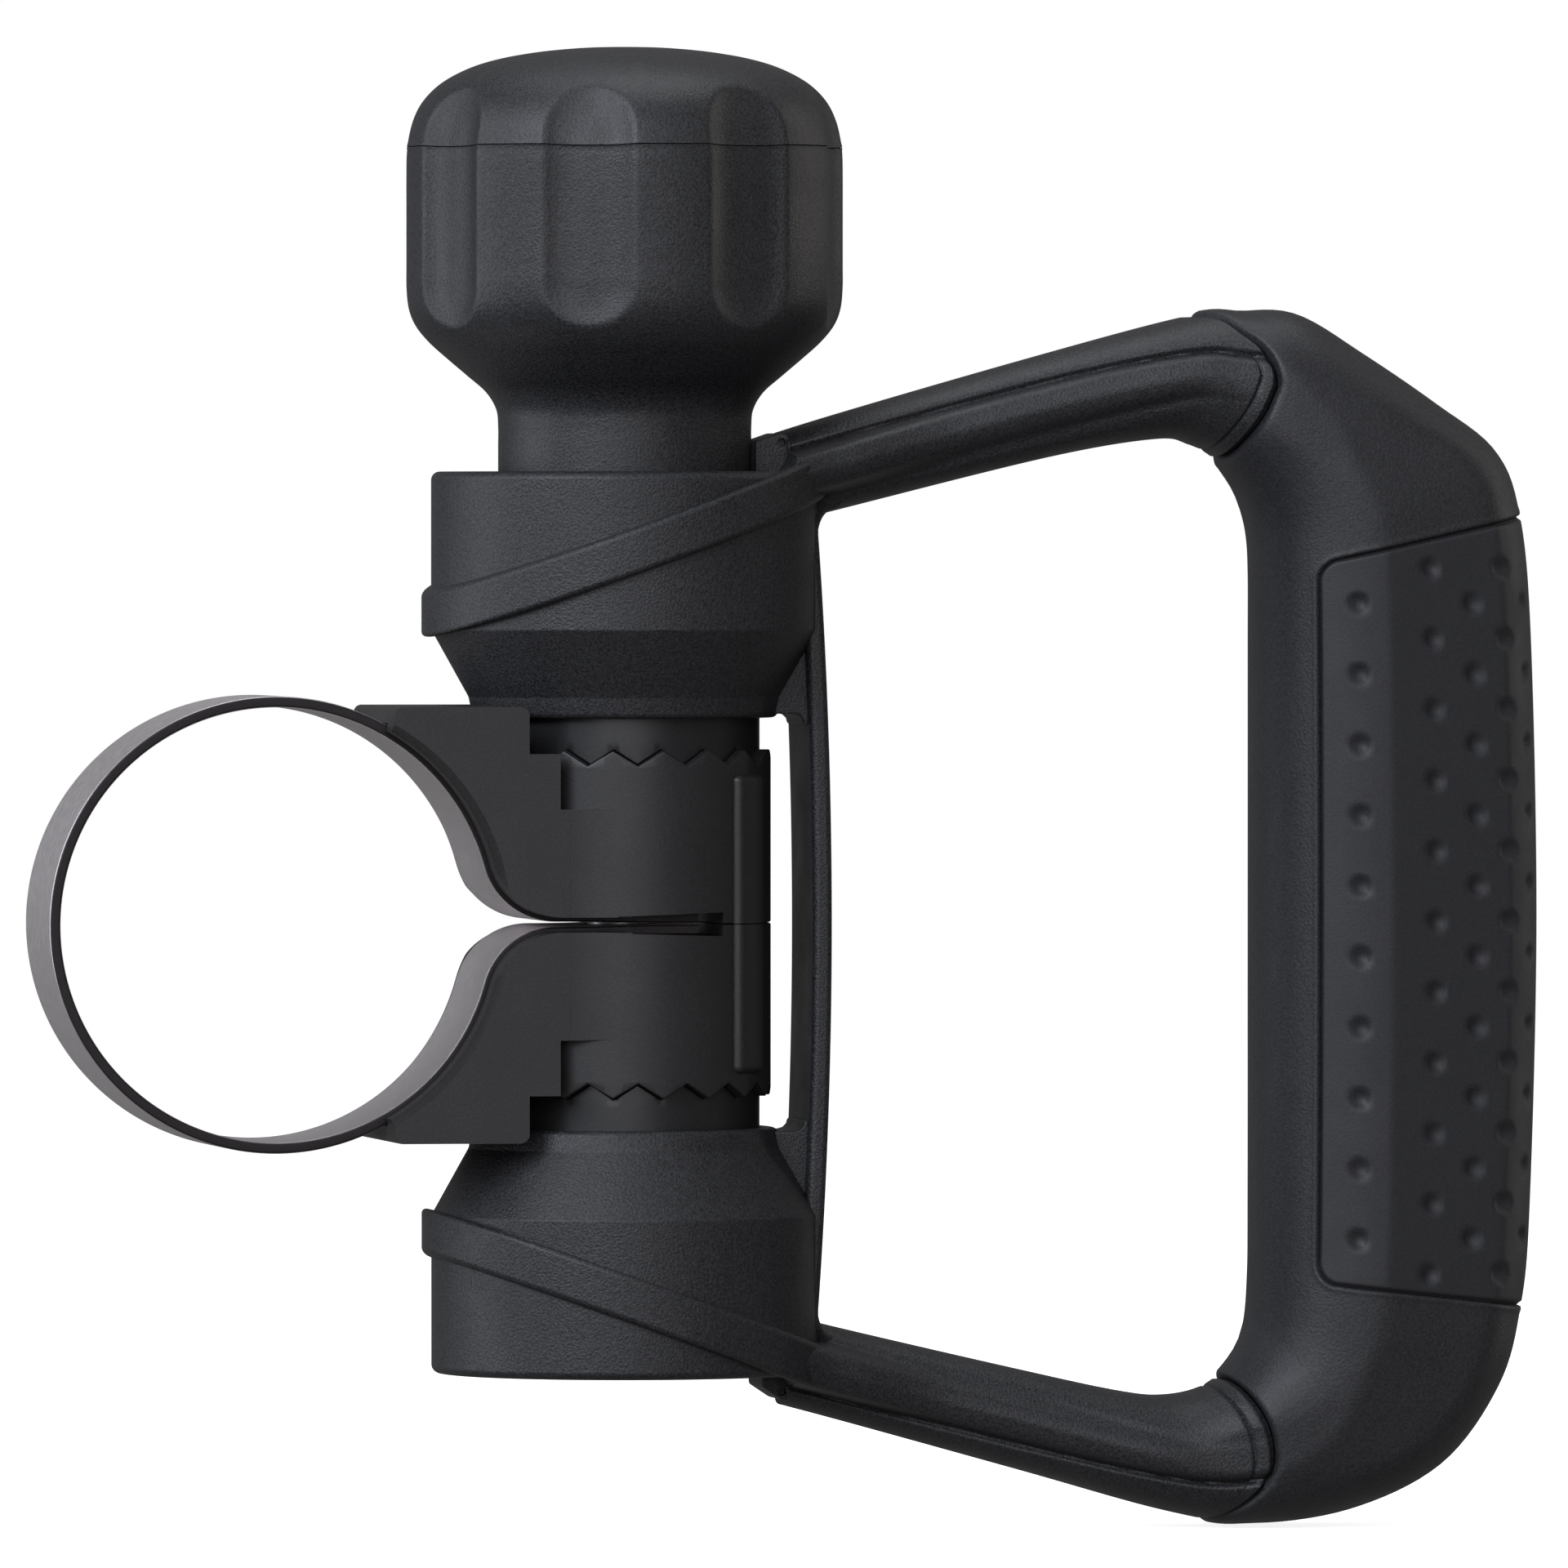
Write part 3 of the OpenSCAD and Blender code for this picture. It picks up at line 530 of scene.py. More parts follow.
def flange_depth(turn, distance):
    """Depth of the arm's end before the seam: a fine line, the flange, then the groove"""
    line = 0.34 * swell(distance, 2.3, 0.22) * smooth(0.45, 0.1, math.cos(turn))
    return line + 0.75 * smooth(0.75, 0.1, distance)


turns = [i * 2 * math.pi / 192 for i in range(192)]
flange_at = [2.9, 2.65, 2.48, 2.38, 2.3, 2.2, 2.05, 1.7, 1.1, 0.75, 0.55, 0.4, 0.25, 0.12]
core = 3.0


def arm_rows(t_end, t_plain, near):
    """Rows from the hub's end of an arm to the core beside the seam"""
    step = (t_plain - t_end) / 30
    rows = [[skin(t_end + k * step, a, 0, True) for a in turns] for k in range(30)]
    for k in range(16):
        rows.append([skin(t_plain + (near(a, 2.9) - t_plain) * k / 16, a, 0, True) for a in turns])
    for d in flange_at:
        rows.append([skin(near(a, d), a, flange_depth(a, d), True) for a in turns])
    rows.append([skin(near(a, 0.05), a, core) for a in turns])
    return rows


core_rows = [[skin(near_upper(a, 0) + (near_lower(a, 0) - near_upper(a, 0)) * k / 40, a, core)
    for a in turns] for k in range(1, 40)]
frame_moulding = wrapped("frame_moulding",
    arm_rows(0, 2.5, near_upper) + core_rows + arm_rows(last, 18.5, near_lower)[::-1])
print("arms and core:", len(frame_moulding.data.polygons), "faces")

# %% [markdown]
# Where an arm leaves its hub it is cut back in a small arc. A thinner fin runs on from the arc over
# the hub's rim, with a blind pin hole in each flank near its outer edge. A fine bead follows the arc
# on both flanks of the arm.

# %% Roots of the arms
root_x, root_z, root_r = 17.3, 63.6, 4
bead_at = 4.02
fin_tops = {1: [(15.5, 64.0), (20.4, 65.7), (21.3, 65.4)], -1: [(17.75, 62.3), (20.6, 64.2), (21.3, 64.0)]}
pin_x, pin_r, pin_heights = 20.4, 0.6, {1: 64.4, -1: 63.0}


def cutter_across(name, outline, width, y=0.0):
    """Side view extruded round a place along the collar"""
    cutter = extruded(name, outline, width)
    cutter.data.transform(Matrix.Translation((0, y * mm, 0)))
    return cutter


def arc_bead(up, side):
    """Thin bead on the arm's flank, which catches the light along the edge of the arc"""
    rows = []
    sweep = 99 if up > 0 else 84
    for k in range(25):
        a = math.radians(-75 + sweep * k / 24)
        x, z = root_x + bead_at * math.cos(a), (root_z + bead_at * math.sin(a)) * up
        place = frame_moulding.ray_cast(at_bolt(x + 0.15, 30 * side, z), Vector((0, -side, 0)))[1]
        r = 0.36 * math.sin(math.pi * (k + 0.6) / 25.2) ** 0.5
        y = place.y / mm
        rows.append([at_bolt(x + r * math.cos(b) * math.cos(a), y + r * math.sin(b) * side,
            z + r * math.cos(b) * math.sin(a) * up) for b in (j * math.pi / 5 for j in range(10))])
    return wrapped("bead", rows)


fins = [arc_bead(up, side) for up in (1, -1) for side in (1, -1)]
for up in (1, -1):
    frame_moulding = combine(frame_moulding, rod("bore cutter", 20.3, 30 * up, 90 * up))
    step = arc(root_x, root_z, root_r, -90, 90, 20) + [(8, 72), (8, 59.6)]
    step = cutter_across("step cutter", [(x, z * up) for x, z in step], 40)
    frame_moulding = combine(frame_moulding, step)
    top = fin_tops[up]
    outline = [(top[0][0], 60.3)] + top + [(22.6, 62.0), (22.6, 58), (21, 58), (20.4, 60.3)]
    fin = extruded("fin", [(x, z * up) for x, z in outline], 11)
    fin = combine(fin, rod("neck cutter", 17.75, 50 * up, 70 * up))
    fin = broken_edges(fin, 0.3)
    for side in (-1, 1):
        pin = [(x, z * up) for x, z in arc(pin_x, pin_heights[up], pin_r, 0, 340, 17)]
        fin = combine(fin, cutter_across("pin cutter", pin, 2.4, 5.5 * side))
    fins.append(fin)
print("roots cut:", len(frame_moulding.data.polygons), "faces")

# %% [markdown]
# ## Hubs and strap
#
# A hub is a turned cup with a cone towards the jaws. Its slanted collar is a turned ring as well,
# sheared upward as it goes outward, which is what a tilted slice through a cylinder is. A small web
# ties the cone to the strap. The strap is a shallow bow with rounded edges, and at both ends it
# curls out along the arm's underside, which makes the rounded corners of the hand's opening.

# %% Upper hub, then its mirror image
def sheared(piece, slope, height):
    for vert in piece.data.vertices:
        vert.co.z += (vert.co.x - bolt_x) * slope + height * mm
    return piece


def mirrored(piece, name):
    """Copy of a piece mirrored through the split, with its faces turned outward again"""
    twin = piece.copy()
    twin.data = piece.data.copy()
    twin.name = twin.data.name = name
    bpy.context.scene.collection.objects.link(twin)
    twin.data.transform(Matrix.Scale(-1, 4, Vector((0, 0, 1))))
    return weld(twin)


collar_slope, collar_z = math.tan(math.radians(19.5)), 50.9
hub = turned("upper_hub", eased([(18.4, 27.5, 0.3), (20.4, 27.5, 0.9), (21.0, 30.3, 1.2),
    (hub_r, 39.3, 0.6), (hub_r, hub_end, 1.1), (hub_bore, hub_end, 0.5), (hub_bore, 35.95, 0),
    (18.4, 35.95, 0)], 4))
collar = turned("slanted collar", eased([(25.0, -3.15, 0), (27.3, -3.15, 0.85), (27.3, 3.15, 0.85),
    (25.0, 3.15, 0)]))
collar = sheared(collar, collar_slope, collar_z)
web = extruded("web", [(18.9, 28.0), (21.9, 28.0), (22.6, 27.8), (23.1, 27.3), (23.3, 26.5), (24.2, 26.5),
    (24.6, 40.5), (20.4, 40.5), (20.4, 36.6), (18.9, 35.5)], 14)
web = broken_edges(web, 0.35)
parts_of_hub = [hub, collar, web]
twins = [mirrored(part, part.name + " twin") for part in parts_of_hub]
print("hub:", len(hub.data.polygons), "faces, and its twin")

# %% Strap
bow_half, bow_deep = 55.5, 2.1
bow_r = (bow_half ** 2 + bow_deep ** 2) / (2 * bow_deep)
strap_half, strap_thick, strap_edge = 9, 2.6, 0.9
curl_z, curl_r, curl_end = 52.3, 3.2, math.radians(14)


def bow(z):
    return hub_r + 0.8 - bow_r + math.sqrt(bow_r ** 2 - z ** 2)


def strap_row(x, z, nx, nz, share):
    """Rim of the strap at a place on its outer face, with the way that the face looks"""
    side = strap_half * share
    rim = eased([(-strap_thick, -side, strap_edge), (0, -side, strap_edge), (0, side, strap_edge),
        (-strap_thick, side, strap_edge)])
    return [at_bolt(x + t * nx, y, z + t * nz) for t, y in rim]


curl = []
for k in range(1, 13):
    a = math.radians(7 * k)
    x, z = bow(curl_z) + curl_r * (1 - math.cos(a)), curl_z + curl_r * math.sin(a)
    curl.append((x, z, math.cos(a), -math.sin(a), 1 - 0.30 * smooth(2, 12, k)))
for k in range(1, 7):
    curl.append((x + 0.5 * k, z + 0.25 * k + 0.05 * k * k, math.sin(curl_end), -math.cos(curl_end),
        0.7 - 0.02 * k))
straight = [-curl_z + 2 * curl_z * k / 96 for k in range(97)]
strap_rows = [strap_row(x, -z, nx, -nz, share) for x, z, nx, nz, share in reversed(curl)]
strap_rows += [strap_row(bow(z), z, 1, 0, 1) for z in straight]
strap_rows += [strap_row(*row) for row in curl]
strap = wrapped("strap", strap_rows)
joined(frame_moulding, parts_of_hub + twins + fins + [strap])
finished(frame_moulding, frame_plastic, "handle_body", "frame", 40)

# %% [markdown]
# ## The soft cover
#
# The cover is a sleeve that swallows both corners. On its outer side it has a shallow pocket with
# rounded corners for the dimpled inlay. The pocket's outline is worked out as a distance in
# millimetres on the unrolled skin, along the grip and round it, so its corners are true arcs.

# %% Unroll the grip
def table(steps, start, end, value):
    """Rows of a place and its value, at even steps from start to end"""
    places = [start + (end - start) * k / steps for k in range(steps + 1)]
    return [(place, value(place)) for place in places]


def look_up(rows, wanted):
    """First column of a table whose second column rises, at a wanted value"""
    low, high = 0, len(rows) - 1
    while high - low > 1:
        middle = (low + high) // 2
        low, high = (middle, high) if rows[middle][1] <= wanted else (low, middle)
    (a, va), (b, vb) = rows[low], rows[high]
    return a + (b - a) * (wanted - va) / (vb - va)


def down_grip(t):
    """How far below the split a section's middle lies"""
    _, outer_z, _, inner_z, _, _ = section_at(t)
    return -(outer_z + inner_z) / 2


run = 0.0
round_grip = [(0.0, 0.0)]
for k in range(1, 721):
    run += (skin(11, k * math.pi / 720) - skin(11, (k - 1) * math.pi / 720)).length / mm
    round_grip.append((k * math.pi / 720, run))
along_grip = table(800, 8, 14, down_grip)
pocket_top, pocket_low = down_grip(9.02), down_grip(12.98)
pocket_half = next(v for turn, v in round_grip if turn > math.radians(126.5))
pocket_corner = 3.2


def outline_distance(down, out, inset=0.0):
    """Distance outside the pocket's rounded outline, negative within it"""
    radius = pocket_corner - inset
    a = abs(out) - (pocket_half - inset) + radius
    b = abs(down - (pocket_top + pocket_low) / 2) - ((pocket_low - pocket_top) / 2 - inset) + radius
    return math.hypot(max(a, 0), max(b, 0)) + min(max(a, b), 0) - radius


def turn_at(out):
    """Angle round the grip at a distance from the middle of its outer side"""
    return math.copysign(look_up(round_grip, abs(out)), out)


print("pocket:", round(pocket_low - pocket_top, 1), "mm long,", round(2 * pocket_half, 1), "mm round")

# %% Cover
fine = [pocket_half - 4.2 + 0.28 * k for k in range(20)]
half_round = [1.45 * k for k in range(1, int(fine[0] / 1.45))] + fine
half_round += [fine[-1] + (run - fine[-1]) * k / 14 for k in range(1, 14)]
cover_outs = [0.0] + half_round + [run] + [-v for v in reversed(half_round)]
cover_turns = [turn_at(v) for v in cover_outs]
lip_at = [0.1, 0.16, 0.25, 0.4, 0.6, 0.9, 1.4, 2.2, 3.2, 4.6, 6.2, 8.0]


def lip_depth(distance):
    """The cover's edge stands a little proud of the arm, then eases back"""
    lip = 0.75 * smooth(0.4, 0.05, distance)
    return lip - 0.42 * smooth(0.2, 0.9, distance) * smooth(8.0, 1.5, distance)


def pocket_depth(down, out):
    """The inlay's seat, with a faint hollow along its rim"""
    distance = outline_distance(down, out)
    return 1.25 * smooth(0.12, -0.3, distance) - 0.10 * swell(distance, 0.45, 0.3)


def cover_corner(near, t_pocket):
    rows = [[skin(near(a, -d), a, lip_depth(d)) for a in cover_turns] for d in lip_at]
    for k in range(1, 30):
        rows.append([skin(near(a, -8) + (t_pocket - near(a, -8)) * k / 30, a) for a in cover_turns])
    return rows


edge_steps = [-1.2 + 0.28 * k for k in range(20)]
downs = [pocket_top + e for e in edge_steps]
plain = pocket_low - pocket_top - 2 * edge_steps[-1]
downs += [downs[-1] + plain * k / 32 for k in range(1, 32)] + [pocket_low - e for e in reversed(edge_steps)]
pocket_rows = [[skin(look_up(along_grip, down), a, pocket_depth(down, out))
    for a, out in zip(cover_turns, cover_outs)] for down in downs]
t_first, t_final = look_up(along_grip, downs[0]), look_up(along_grip, downs[-1])
inner_rows = [[skin(near_lower(a, -0.1) + (near_upper(a, -0.1) - near_lower(a, -0.1)) * k / 30, a, 2.8)
    for a in cover_turns] for k in range(31)]
soft_cover = wrapped("soft_cover", cover_corner(near_upper, t_first) + pocket_rows
    + cover_corner(near_lower, t_final)[::-1] + inner_rows, tube=True)
finished(soft_cover, grip_rubber, "handle_body", "grip_cover", 60)

# %% [markdown]
# ## The dimpled inlay
#
# The inlay is a thin second shot of rubber with staggered round dimples, which let the palm's skin
# grip without trapping water. Each dimple is a shallow bowl, so the grid has to be fine: half a
# millimetre gives each bowl six faces across. Columns draw in at the ends, so that the outline's
# corners are round without a jagged edge.

# %% Dimples
dimple_r, dimple_deep, dimple_pitch, dimples_end = 1.48, 0.72, 9.5, 49
place_of_angle = [(place, angle) for angle, place in round_grip]
dimple_columns = [(look_up(place_of_angle, math.radians(angle)), offset)
    for angle, offset in ((0, 0), (31.0, 0.5), (50.0, 0), (67.6, 0.5), (84.5, 0), (107.8, 0.5))]


def dimple(height, out):
    """Depth of the dimples at a height and a place round the grip"""
    if abs(height) > dimples_end:
        return 0.0
    column, offset = min(dimple_columns, key=lambda c: abs(c[0] - abs(out)))
    place = height / dimple_pitch - offset
    off_centre = math.hypot(abs(out) - column, (place - round(place)) * dimple_pitch) / dimple_r
    return dimple_deep * max(0.0, 1 - off_centre ** 2) ** 0.8


print("dimples in columns at", [round(place, 1) for place, offset in dimple_columns], "mm")

# %% Inlay
inlay_gap, inlay_thick = 0.12, 0.7
inlay_half = pocket_half - inlay_gap
inlay_corner = pocket_corner - inlay_gap
edge_in = [0, 0.1, 0.2, 0.32, 0.48, 0.7, 1.0, 1.35, 1.75, 2.2, 2.7]
length = pocket_low - pocket_top - 2 * inlay_gap


def steps_across(length, count):
    """Places across the inlay, crowded towards both edges"""
    plain = [3.2 + (length - 6.4) * k / count for k in range(count + 1)]
    return edge_in + plain + [length - e for e in reversed(edge_in)]


steps_down, steps_out = steps_across(length, 190), steps_across(2 * inlay_half, 140)
points = []
for step in steps_down:
    in_corner = max(0.0, inlay_corner - min(step, length - step))
    reach = inlay_half - inlay_corner + math.sqrt(inlay_corner ** 2 - in_corner ** 2)
    down = pocket_top + inlay_gap + step
    t = look_up(along_grip, down)
    for place in steps_out:
        out = (place / inlay_half - 1) * reach
        edge = -outline_distance(down, out, inlay_gap)
        turn = turn_at(out)
        depth = 0.5 * smooth(0.55, 0.0, edge) + dimple(skin(t, turn).z / mm, out)
        points.append(skin(t, turn, depth))
inlay, verts = new_grid("dimpled_inlay", len(steps_out) - 1, len(steps_down) - 1)
for vert, point in zip(verts, points):
    vert.co = point
inlay.data.update()
outer_face = max(inlay.data.polygons, key=lambda face: face.center.x)
thickness = inlay.modifiers.new("thickness", "SOLIDIFY")
thickness.thickness = inlay_thick * mm
thickness.offset = -1 if outer_face.normal.x > 0 else 1
only(inlay)
bpy.ops.object.modifier_apply(modifier="thickness")
weld(inlay)
print("inlay reaches x =", round(max(vert.co.x for vert in inlay.data.vertices), 4))
finished(inlay, inlay_rubber, "handle_body", "grip_inlay", 50)

# %% [markdown]
# ## Knob and cap
#
# The knob is a turned form: a straight neck, a soft slope, an upright side and a domed crown. Its
# outline is a smooth curve through measured radii, so no ring of the crown shows a corner. Eight
# shallow hollows for the fingers are pressed into the turned skin along its own normal. Pressed like
# this their rounded ends follow the crown, which a straight cutter would leave flat.

# %% Outline of the knob's skin
knob_marks = [(17.0, 64.5), (17.0, 66.5), (17.25, 68.8), (18.6, 71.1), (21.1, 73.3), (23.8, 75.6),
    (26.25, 77.8), (28.05, 80.0), (29.0, 82.3), (29.33, 85.0), (knob_r, 88.0), (knob_r, 92.0),
    (knob_r, 96.0), (knob_r, 100.0), (29.3, 103.0), (29.05, 105.2), (28.5, 107.4), (27.6, 109.4),
    (26.3, 111.1), (24.6, 112.6), (22.4, 113.9), (19.8, 115.0), (16.8, 115.85), (13.4, 116.5),
    (9.6, 117.0), (5.0, 117.35), (0.0, knob_top)]


def along_marks(marks, step):
    """Smooth curve through marks, cut into steps of about the given length"""
    out = []
    for i in range(len(marks) - 1):
        rows = marks[max(i - 1, 0)], marks[i], marks[i + 1], marks[min(i + 2, len(marks) - 1)]
        cuts = max(1, round(math.dist(marks[i], marks[i + 1]) / step))
        out += [tuple(spline(*(row[k] for row in rows), f / cuts) for k in (0, 1)) for f in range(cuts)]
    return out + [marks[-1]]


knob_skin = along_marks(knob_marks, 0.5)
skin_run = [0.0]
for here, there in zip(knob_skin, knob_skin[1:]):
    skin_run.append(skin_run[-1] + math.dist(here, there))


def skin_place(z):
    """Number of the skin's row nearest a height"""
    return min(range(len(knob_skin)), key=lambda i: abs(knob_skin[i][1] - z))


hollow_r, hollow_deep, hollow_step, first_hollow = 6.2, 1.65, 45, 19
hollow_low, hollow_high = skin_run[skin_place(79.8)] + hollow_r, skin_run[skin_place(111.7)] - 7.4
print("knob's skin:", len(knob_skin), "rows,", round(skin_run[-1], 1), "mm long")

# %% Finger hollows
def hollow_depth(angle, place):
    """Depth of the nearest finger hollow, with its rim rounded over"""
    r, run_here = knob_skin[place][0], skin_run[place]
    off = (math.degrees(angle) + first_hollow + hollow_step / 2) % hollow_step - hollow_step / 2
    beyond = max(hollow_low - run_here, (run_here - hollow_high) / 1.2, 0.0)
    out = math.hypot(r * math.sin(math.radians(off)), beyond) / hollow_r
    bowl = hollow_deep * (1 - out ** 3)
    return 0.5 * (bowl + math.sqrt(bowl ** 2 + 0.012)) if out < 1.6 else 0.0


def press_hollows(piece):
    """Push the skin in along its own normal, which its neighbouring rows give"""
    for vert in piece.data.vertices:
        x, y, z = vert.co.x - bolt_x, vert.co.y, vert.co.z / mm
        r = math.hypot(x, y) / mm
        if r < 24.5 or z < 78:
            continue
        place = skin_place(z)
        (r0, z0), (r1, z1) = knob_skin[place - 1], knob_skin[min(place + 1, len(knob_skin) - 1)]
        tilt = math.hypot(r1 - r0, z1 - z0)
        depth = hollow_depth(math.atan2(y, x), place) * mm
        share = 1 - depth * (z1 - z0) / tilt / (r * mm)
        vert.co = (bolt_x + x * share, y * share, vert.co.z + depth * (r1 - r0) / tilt)
    return piece


split = skin_place(cap_z)
lower_skin = knob_skin[:split] + [(29.31, cap_z - 0.08), (29.2, cap_z - 0.02)]
upper_skin = [(29.2, cap_z + 0.02), (29.3, cap_z + 0.08)] + knob_skin[split + 1:]
foot = [(5.6, 41.5), (18.9, 41.5), (19.3, 41.9), (19.3, 45.3), (18.9, 45.8), (17.0, 47.5)]
inside = [(24.15, cap_z - 0.02), (24.15, 87), (16.2, 79), (11, 79), (11, 63), (9.9, 63), (9.9, 43),
    (5.6, 43)]
knob = turned("fluted_knob", foot + lower_skin + inside, 384)
finished(press_hollows(knob), knob_plastic, "knob_body", "knob", 40)
under_cap = [(0, knob_top), (0, 114.1), (11.8, 114.0), (21.6, cap_z), (21.6, 99), (24.0, 99),
    (24.0, cap_z + 0.02)]
cap = turned("knob_dome", upper_skin[:-1] + under_cap, 384)
finished(press_hollows(cap), knob_plastic, "knob_body", "knob_cap", 40)

# %% [markdown]
# ## Toothed rings
#
# Eighteen pointed teeth let the grip be set at steps of twenty degrees. A ring is turned with one
# row of points for each degree, and the rows at its toothed end are lifted or dropped to the zigzag.
# A narrow round on the teeth's outer edge draws the thin dark line where ring and jaw meet.

# %% Rings
def tooth(vert):
    """Height of the zigzag at a point, from -1 to 1 mm"""
    place = (math.degrees(math.atan2(vert.co.y, vert.co.x - bolt_x)) + 4) / 10 % 2
    return 1 - 2 * min(place, 2 - place)


def toothed(piece, low, high):
    """Lift the rows between two heights to the teeth's zigzag"""
    for vert in piece.data.vertices:
        if low < vert.co.z / mm < high:
            vert.co.z += tooth(vert) * mm
    return piece


ring_outline = [(9.2, 22.35), (17.9, 22.35), (18.04, 22.42), (ring_r, 22.6), (ring_r, 24.5), (ring_r, 35.9),
    (18.3, 36.0), (19.3, 36.0), (19.5, 36.2), (19.5, 39.8), (19.3, 40), (5.6, 40), (5.6, 32), (9.2, 32)]
upper_ring = toothed(turned("upper_toothed_ring", ring_outline, 360), 22, 22.8)
lower_ring = mirrored(upper_ring, "lower_toothed_ring")
lower_ring = combine(lower_ring, rod("hex pocket", 9.92, -35.9, -41, 6))
finished(upper_ring, ring_plastic, "upper_ring_body", "upper_ring")
finished(lower_ring, ring_plastic, "lower_ring_body", "lower_ring")

# %% [markdown]
# ## Jaws
#
# A jaw has a flat-sided block that carries the band's seat, and an upright sleeve with the teeth.
# The block is a side view extruded along the collar. Cutters then make the room for the hub, the
# groove round the sleeve, a narrow chamfer at the cheeks' edge and the band's recess between them.
# The sleeve is turned, and a thin hollow fillet on each side lets the flat side flow into it
# without a line.

# %% Block of a jaw
nose_x, nose_z = -11.385, 10.3
# angle at which the band leaves the collar's round
mouth = 15.31
heel, block_top, jaw_wide = 10.6, 29.1, 37
cheek_r, chamfer_r, chamfer_end = 29.7, 30.7, 29.6
recess_wide, tail_end, tail_deep = 24.6, 8.5, 2.1
hole_r, spring_room, room_floor = 6.2, 9.8, 12

side_view = eased([(-34, 26.9, 0), (-34, block_top, 1.0), (-15.9, block_top, 0), (-2, block_top, 0)])
side_view += [(-2, 1.0)] + arc(nose_x, nose_z, 9.3, 270, 180 + mouth, 18)
side_view += arc(collar_x, 0, cheek_r, mouth, 60.4, 30)[1:]
block = extruded("jaw_block", side_view, jaw_wide)
for radius, low in ((24.4, 22.8), (21.9, 15.4)):
    flared = [(radius + 1.3 * (1 - math.cos(a)), 28.1 + 1.1 * math.sin(a))
        for a in (math.radians(15 * k) for k in range(7))]
    room = turned("room cutter", [(0, low), (radius, low)] + flared + [(radius + 1.3, 40), (0, 40)], 120)
    block = combine(block, room)
for side in (-1, 1):
    bpy.ops.mesh.primitive_cone_add(vertices=240, radius1=chamfer_r, radius2=chamfer_end, depth=2 * mm,
        location=at_bolt(collar_x, side * 17.6, 0), rotation=(side * math.pi / 2, 0, 0))
    cone = bpy.context.active_object
    cone.data.transform(Matrix.Diagonal((mm, mm, 1, 1)))
    bpy.ops.object.transform_apply(location=True, rotation=True, scale=True)
    block = combine(block, cone)
block = broken_edges(block, 0.22, 38)
recess = arc(collar_x, 0, 30.8, 75, mouth, 40) + arc(nose_x, nose_z, 8.2, 180 + mouth, 270, 14)
recess += [(tail_end, tail_deep), (tail_end, -2), (collar_x, -2)]
block = combine(block, extruded("recess cutter", recess, recess_wide))
bore = turned("bore cutter", [(0, -5), (hole_r, -5), (hole_r, room_floor), (spring_room, room_floor),
    (spring_room, 40), (0, 40)], 96)
block = combine(block, bore)
print("block of a jaw:", len(block.data.polygons), "faces")

# %% Sleeve
sleeve = turned("sleeve", [(hole_r, 0.07), (19.45, 0.07), (sleeve_r, 0.22), (sleeve_r, 18.0),
    (sleeve_r, 20.9), (sleeve_r, 21.9), (19.54, 22.1), (19.4, tooth_z), (spring_room, tooth_z),
    (spring_room, room_floor), (hole_r, room_floor)], 360)
sleeve = toothed(sleeve, 21.5, 22.6)
slit = [(heel, -1), (heel, 1.6), (nose_x, 0.9), (-40, 0.9), (-40, -1)]
sleeve = combine(sleeve, extruded("slit cutter", slit, 60))
tails = [(tail_end, -1), (tail_end, tail_deep), (-30, tail_deep), (-30, -1)]
sleeve = combine(sleeve, extruded("tail cutter", tails, recess_wide))
# the sleeve's front is inside the block, and would stand in the band's way
front = [(-8, -1), (-8, 12), (-30, 12), (-30, -1)]
sleeve = combine(sleeve, extruded("front cutter", front, 60))
print("sleeve:", len(sleeve.data.polygons), "faces")

# %% Fillets and bars
jaw_parts = [sleeve]
for side in (-1, 1):
    plan = arc(-10.39, -48.5, 30, 90, 77.9, 10) + [(-4.4, -17.2), (-11, -17.2)]
    jaw_parts.append(block_from("fillet", [at_bolt(x, y * -side, 1.0) for x, y in plan], (0, 0, 14.3)))
    bpy.ops.mesh.primitive_cube_add(size=1, location=(0, 0, 0))
    bar = bpy.context.active_object
    bar_size = Matrix.Diagonal((2.7 * mm, 6.4 * mm, 24.0 * mm, 1))
    bar.data.transform(Matrix.Translation((19.1 * mm, 0, 8.0 * mm)) @ bar_size)
    bar = broken_edges(bar, 1.0, 32, 5)
    to_flank = Matrix.Rotation(math.radians(42 * side), 4, "Z")
    bar.data.transform(Matrix.Translation((bolt_x, 0, 0)) @ to_flank)
    only(bar)
    bpy.ops.object.mode_set(mode="EDIT")
    bpy.ops.mesh.select_all(action="SELECT")
    bpy.ops.mesh.bisect(plane_co=(0, 0, 0.07 * mm), plane_no=(0, 0, 1), use_fill=True, clear_inner=True)
    bpy.ops.object.mode_set(mode="OBJECT")
    jaw_parts.append(weld(bar))
joined(block, jaw_parts)
block.name = block.data.name = "upper_jaw_piece"
lower_jaw = mirrored(block, "lower_jaw_piece")
finished(block, jaw_plastic, "upper_jaw_body", "upper_jaw", 30)
finished(lower_jaw, jaw_plastic, "clamp_base", "lower_jaw", 30)

# %% [markdown]
# ## Band
#
# The band is one strip of spring steel, rolled to the collar's round, bent back over the jaws' noses
# and punched for the bolt. It is wrapped along that path with its edges rounded, as rolled strip has
# them, and the bolt's hole is cut through both tails.

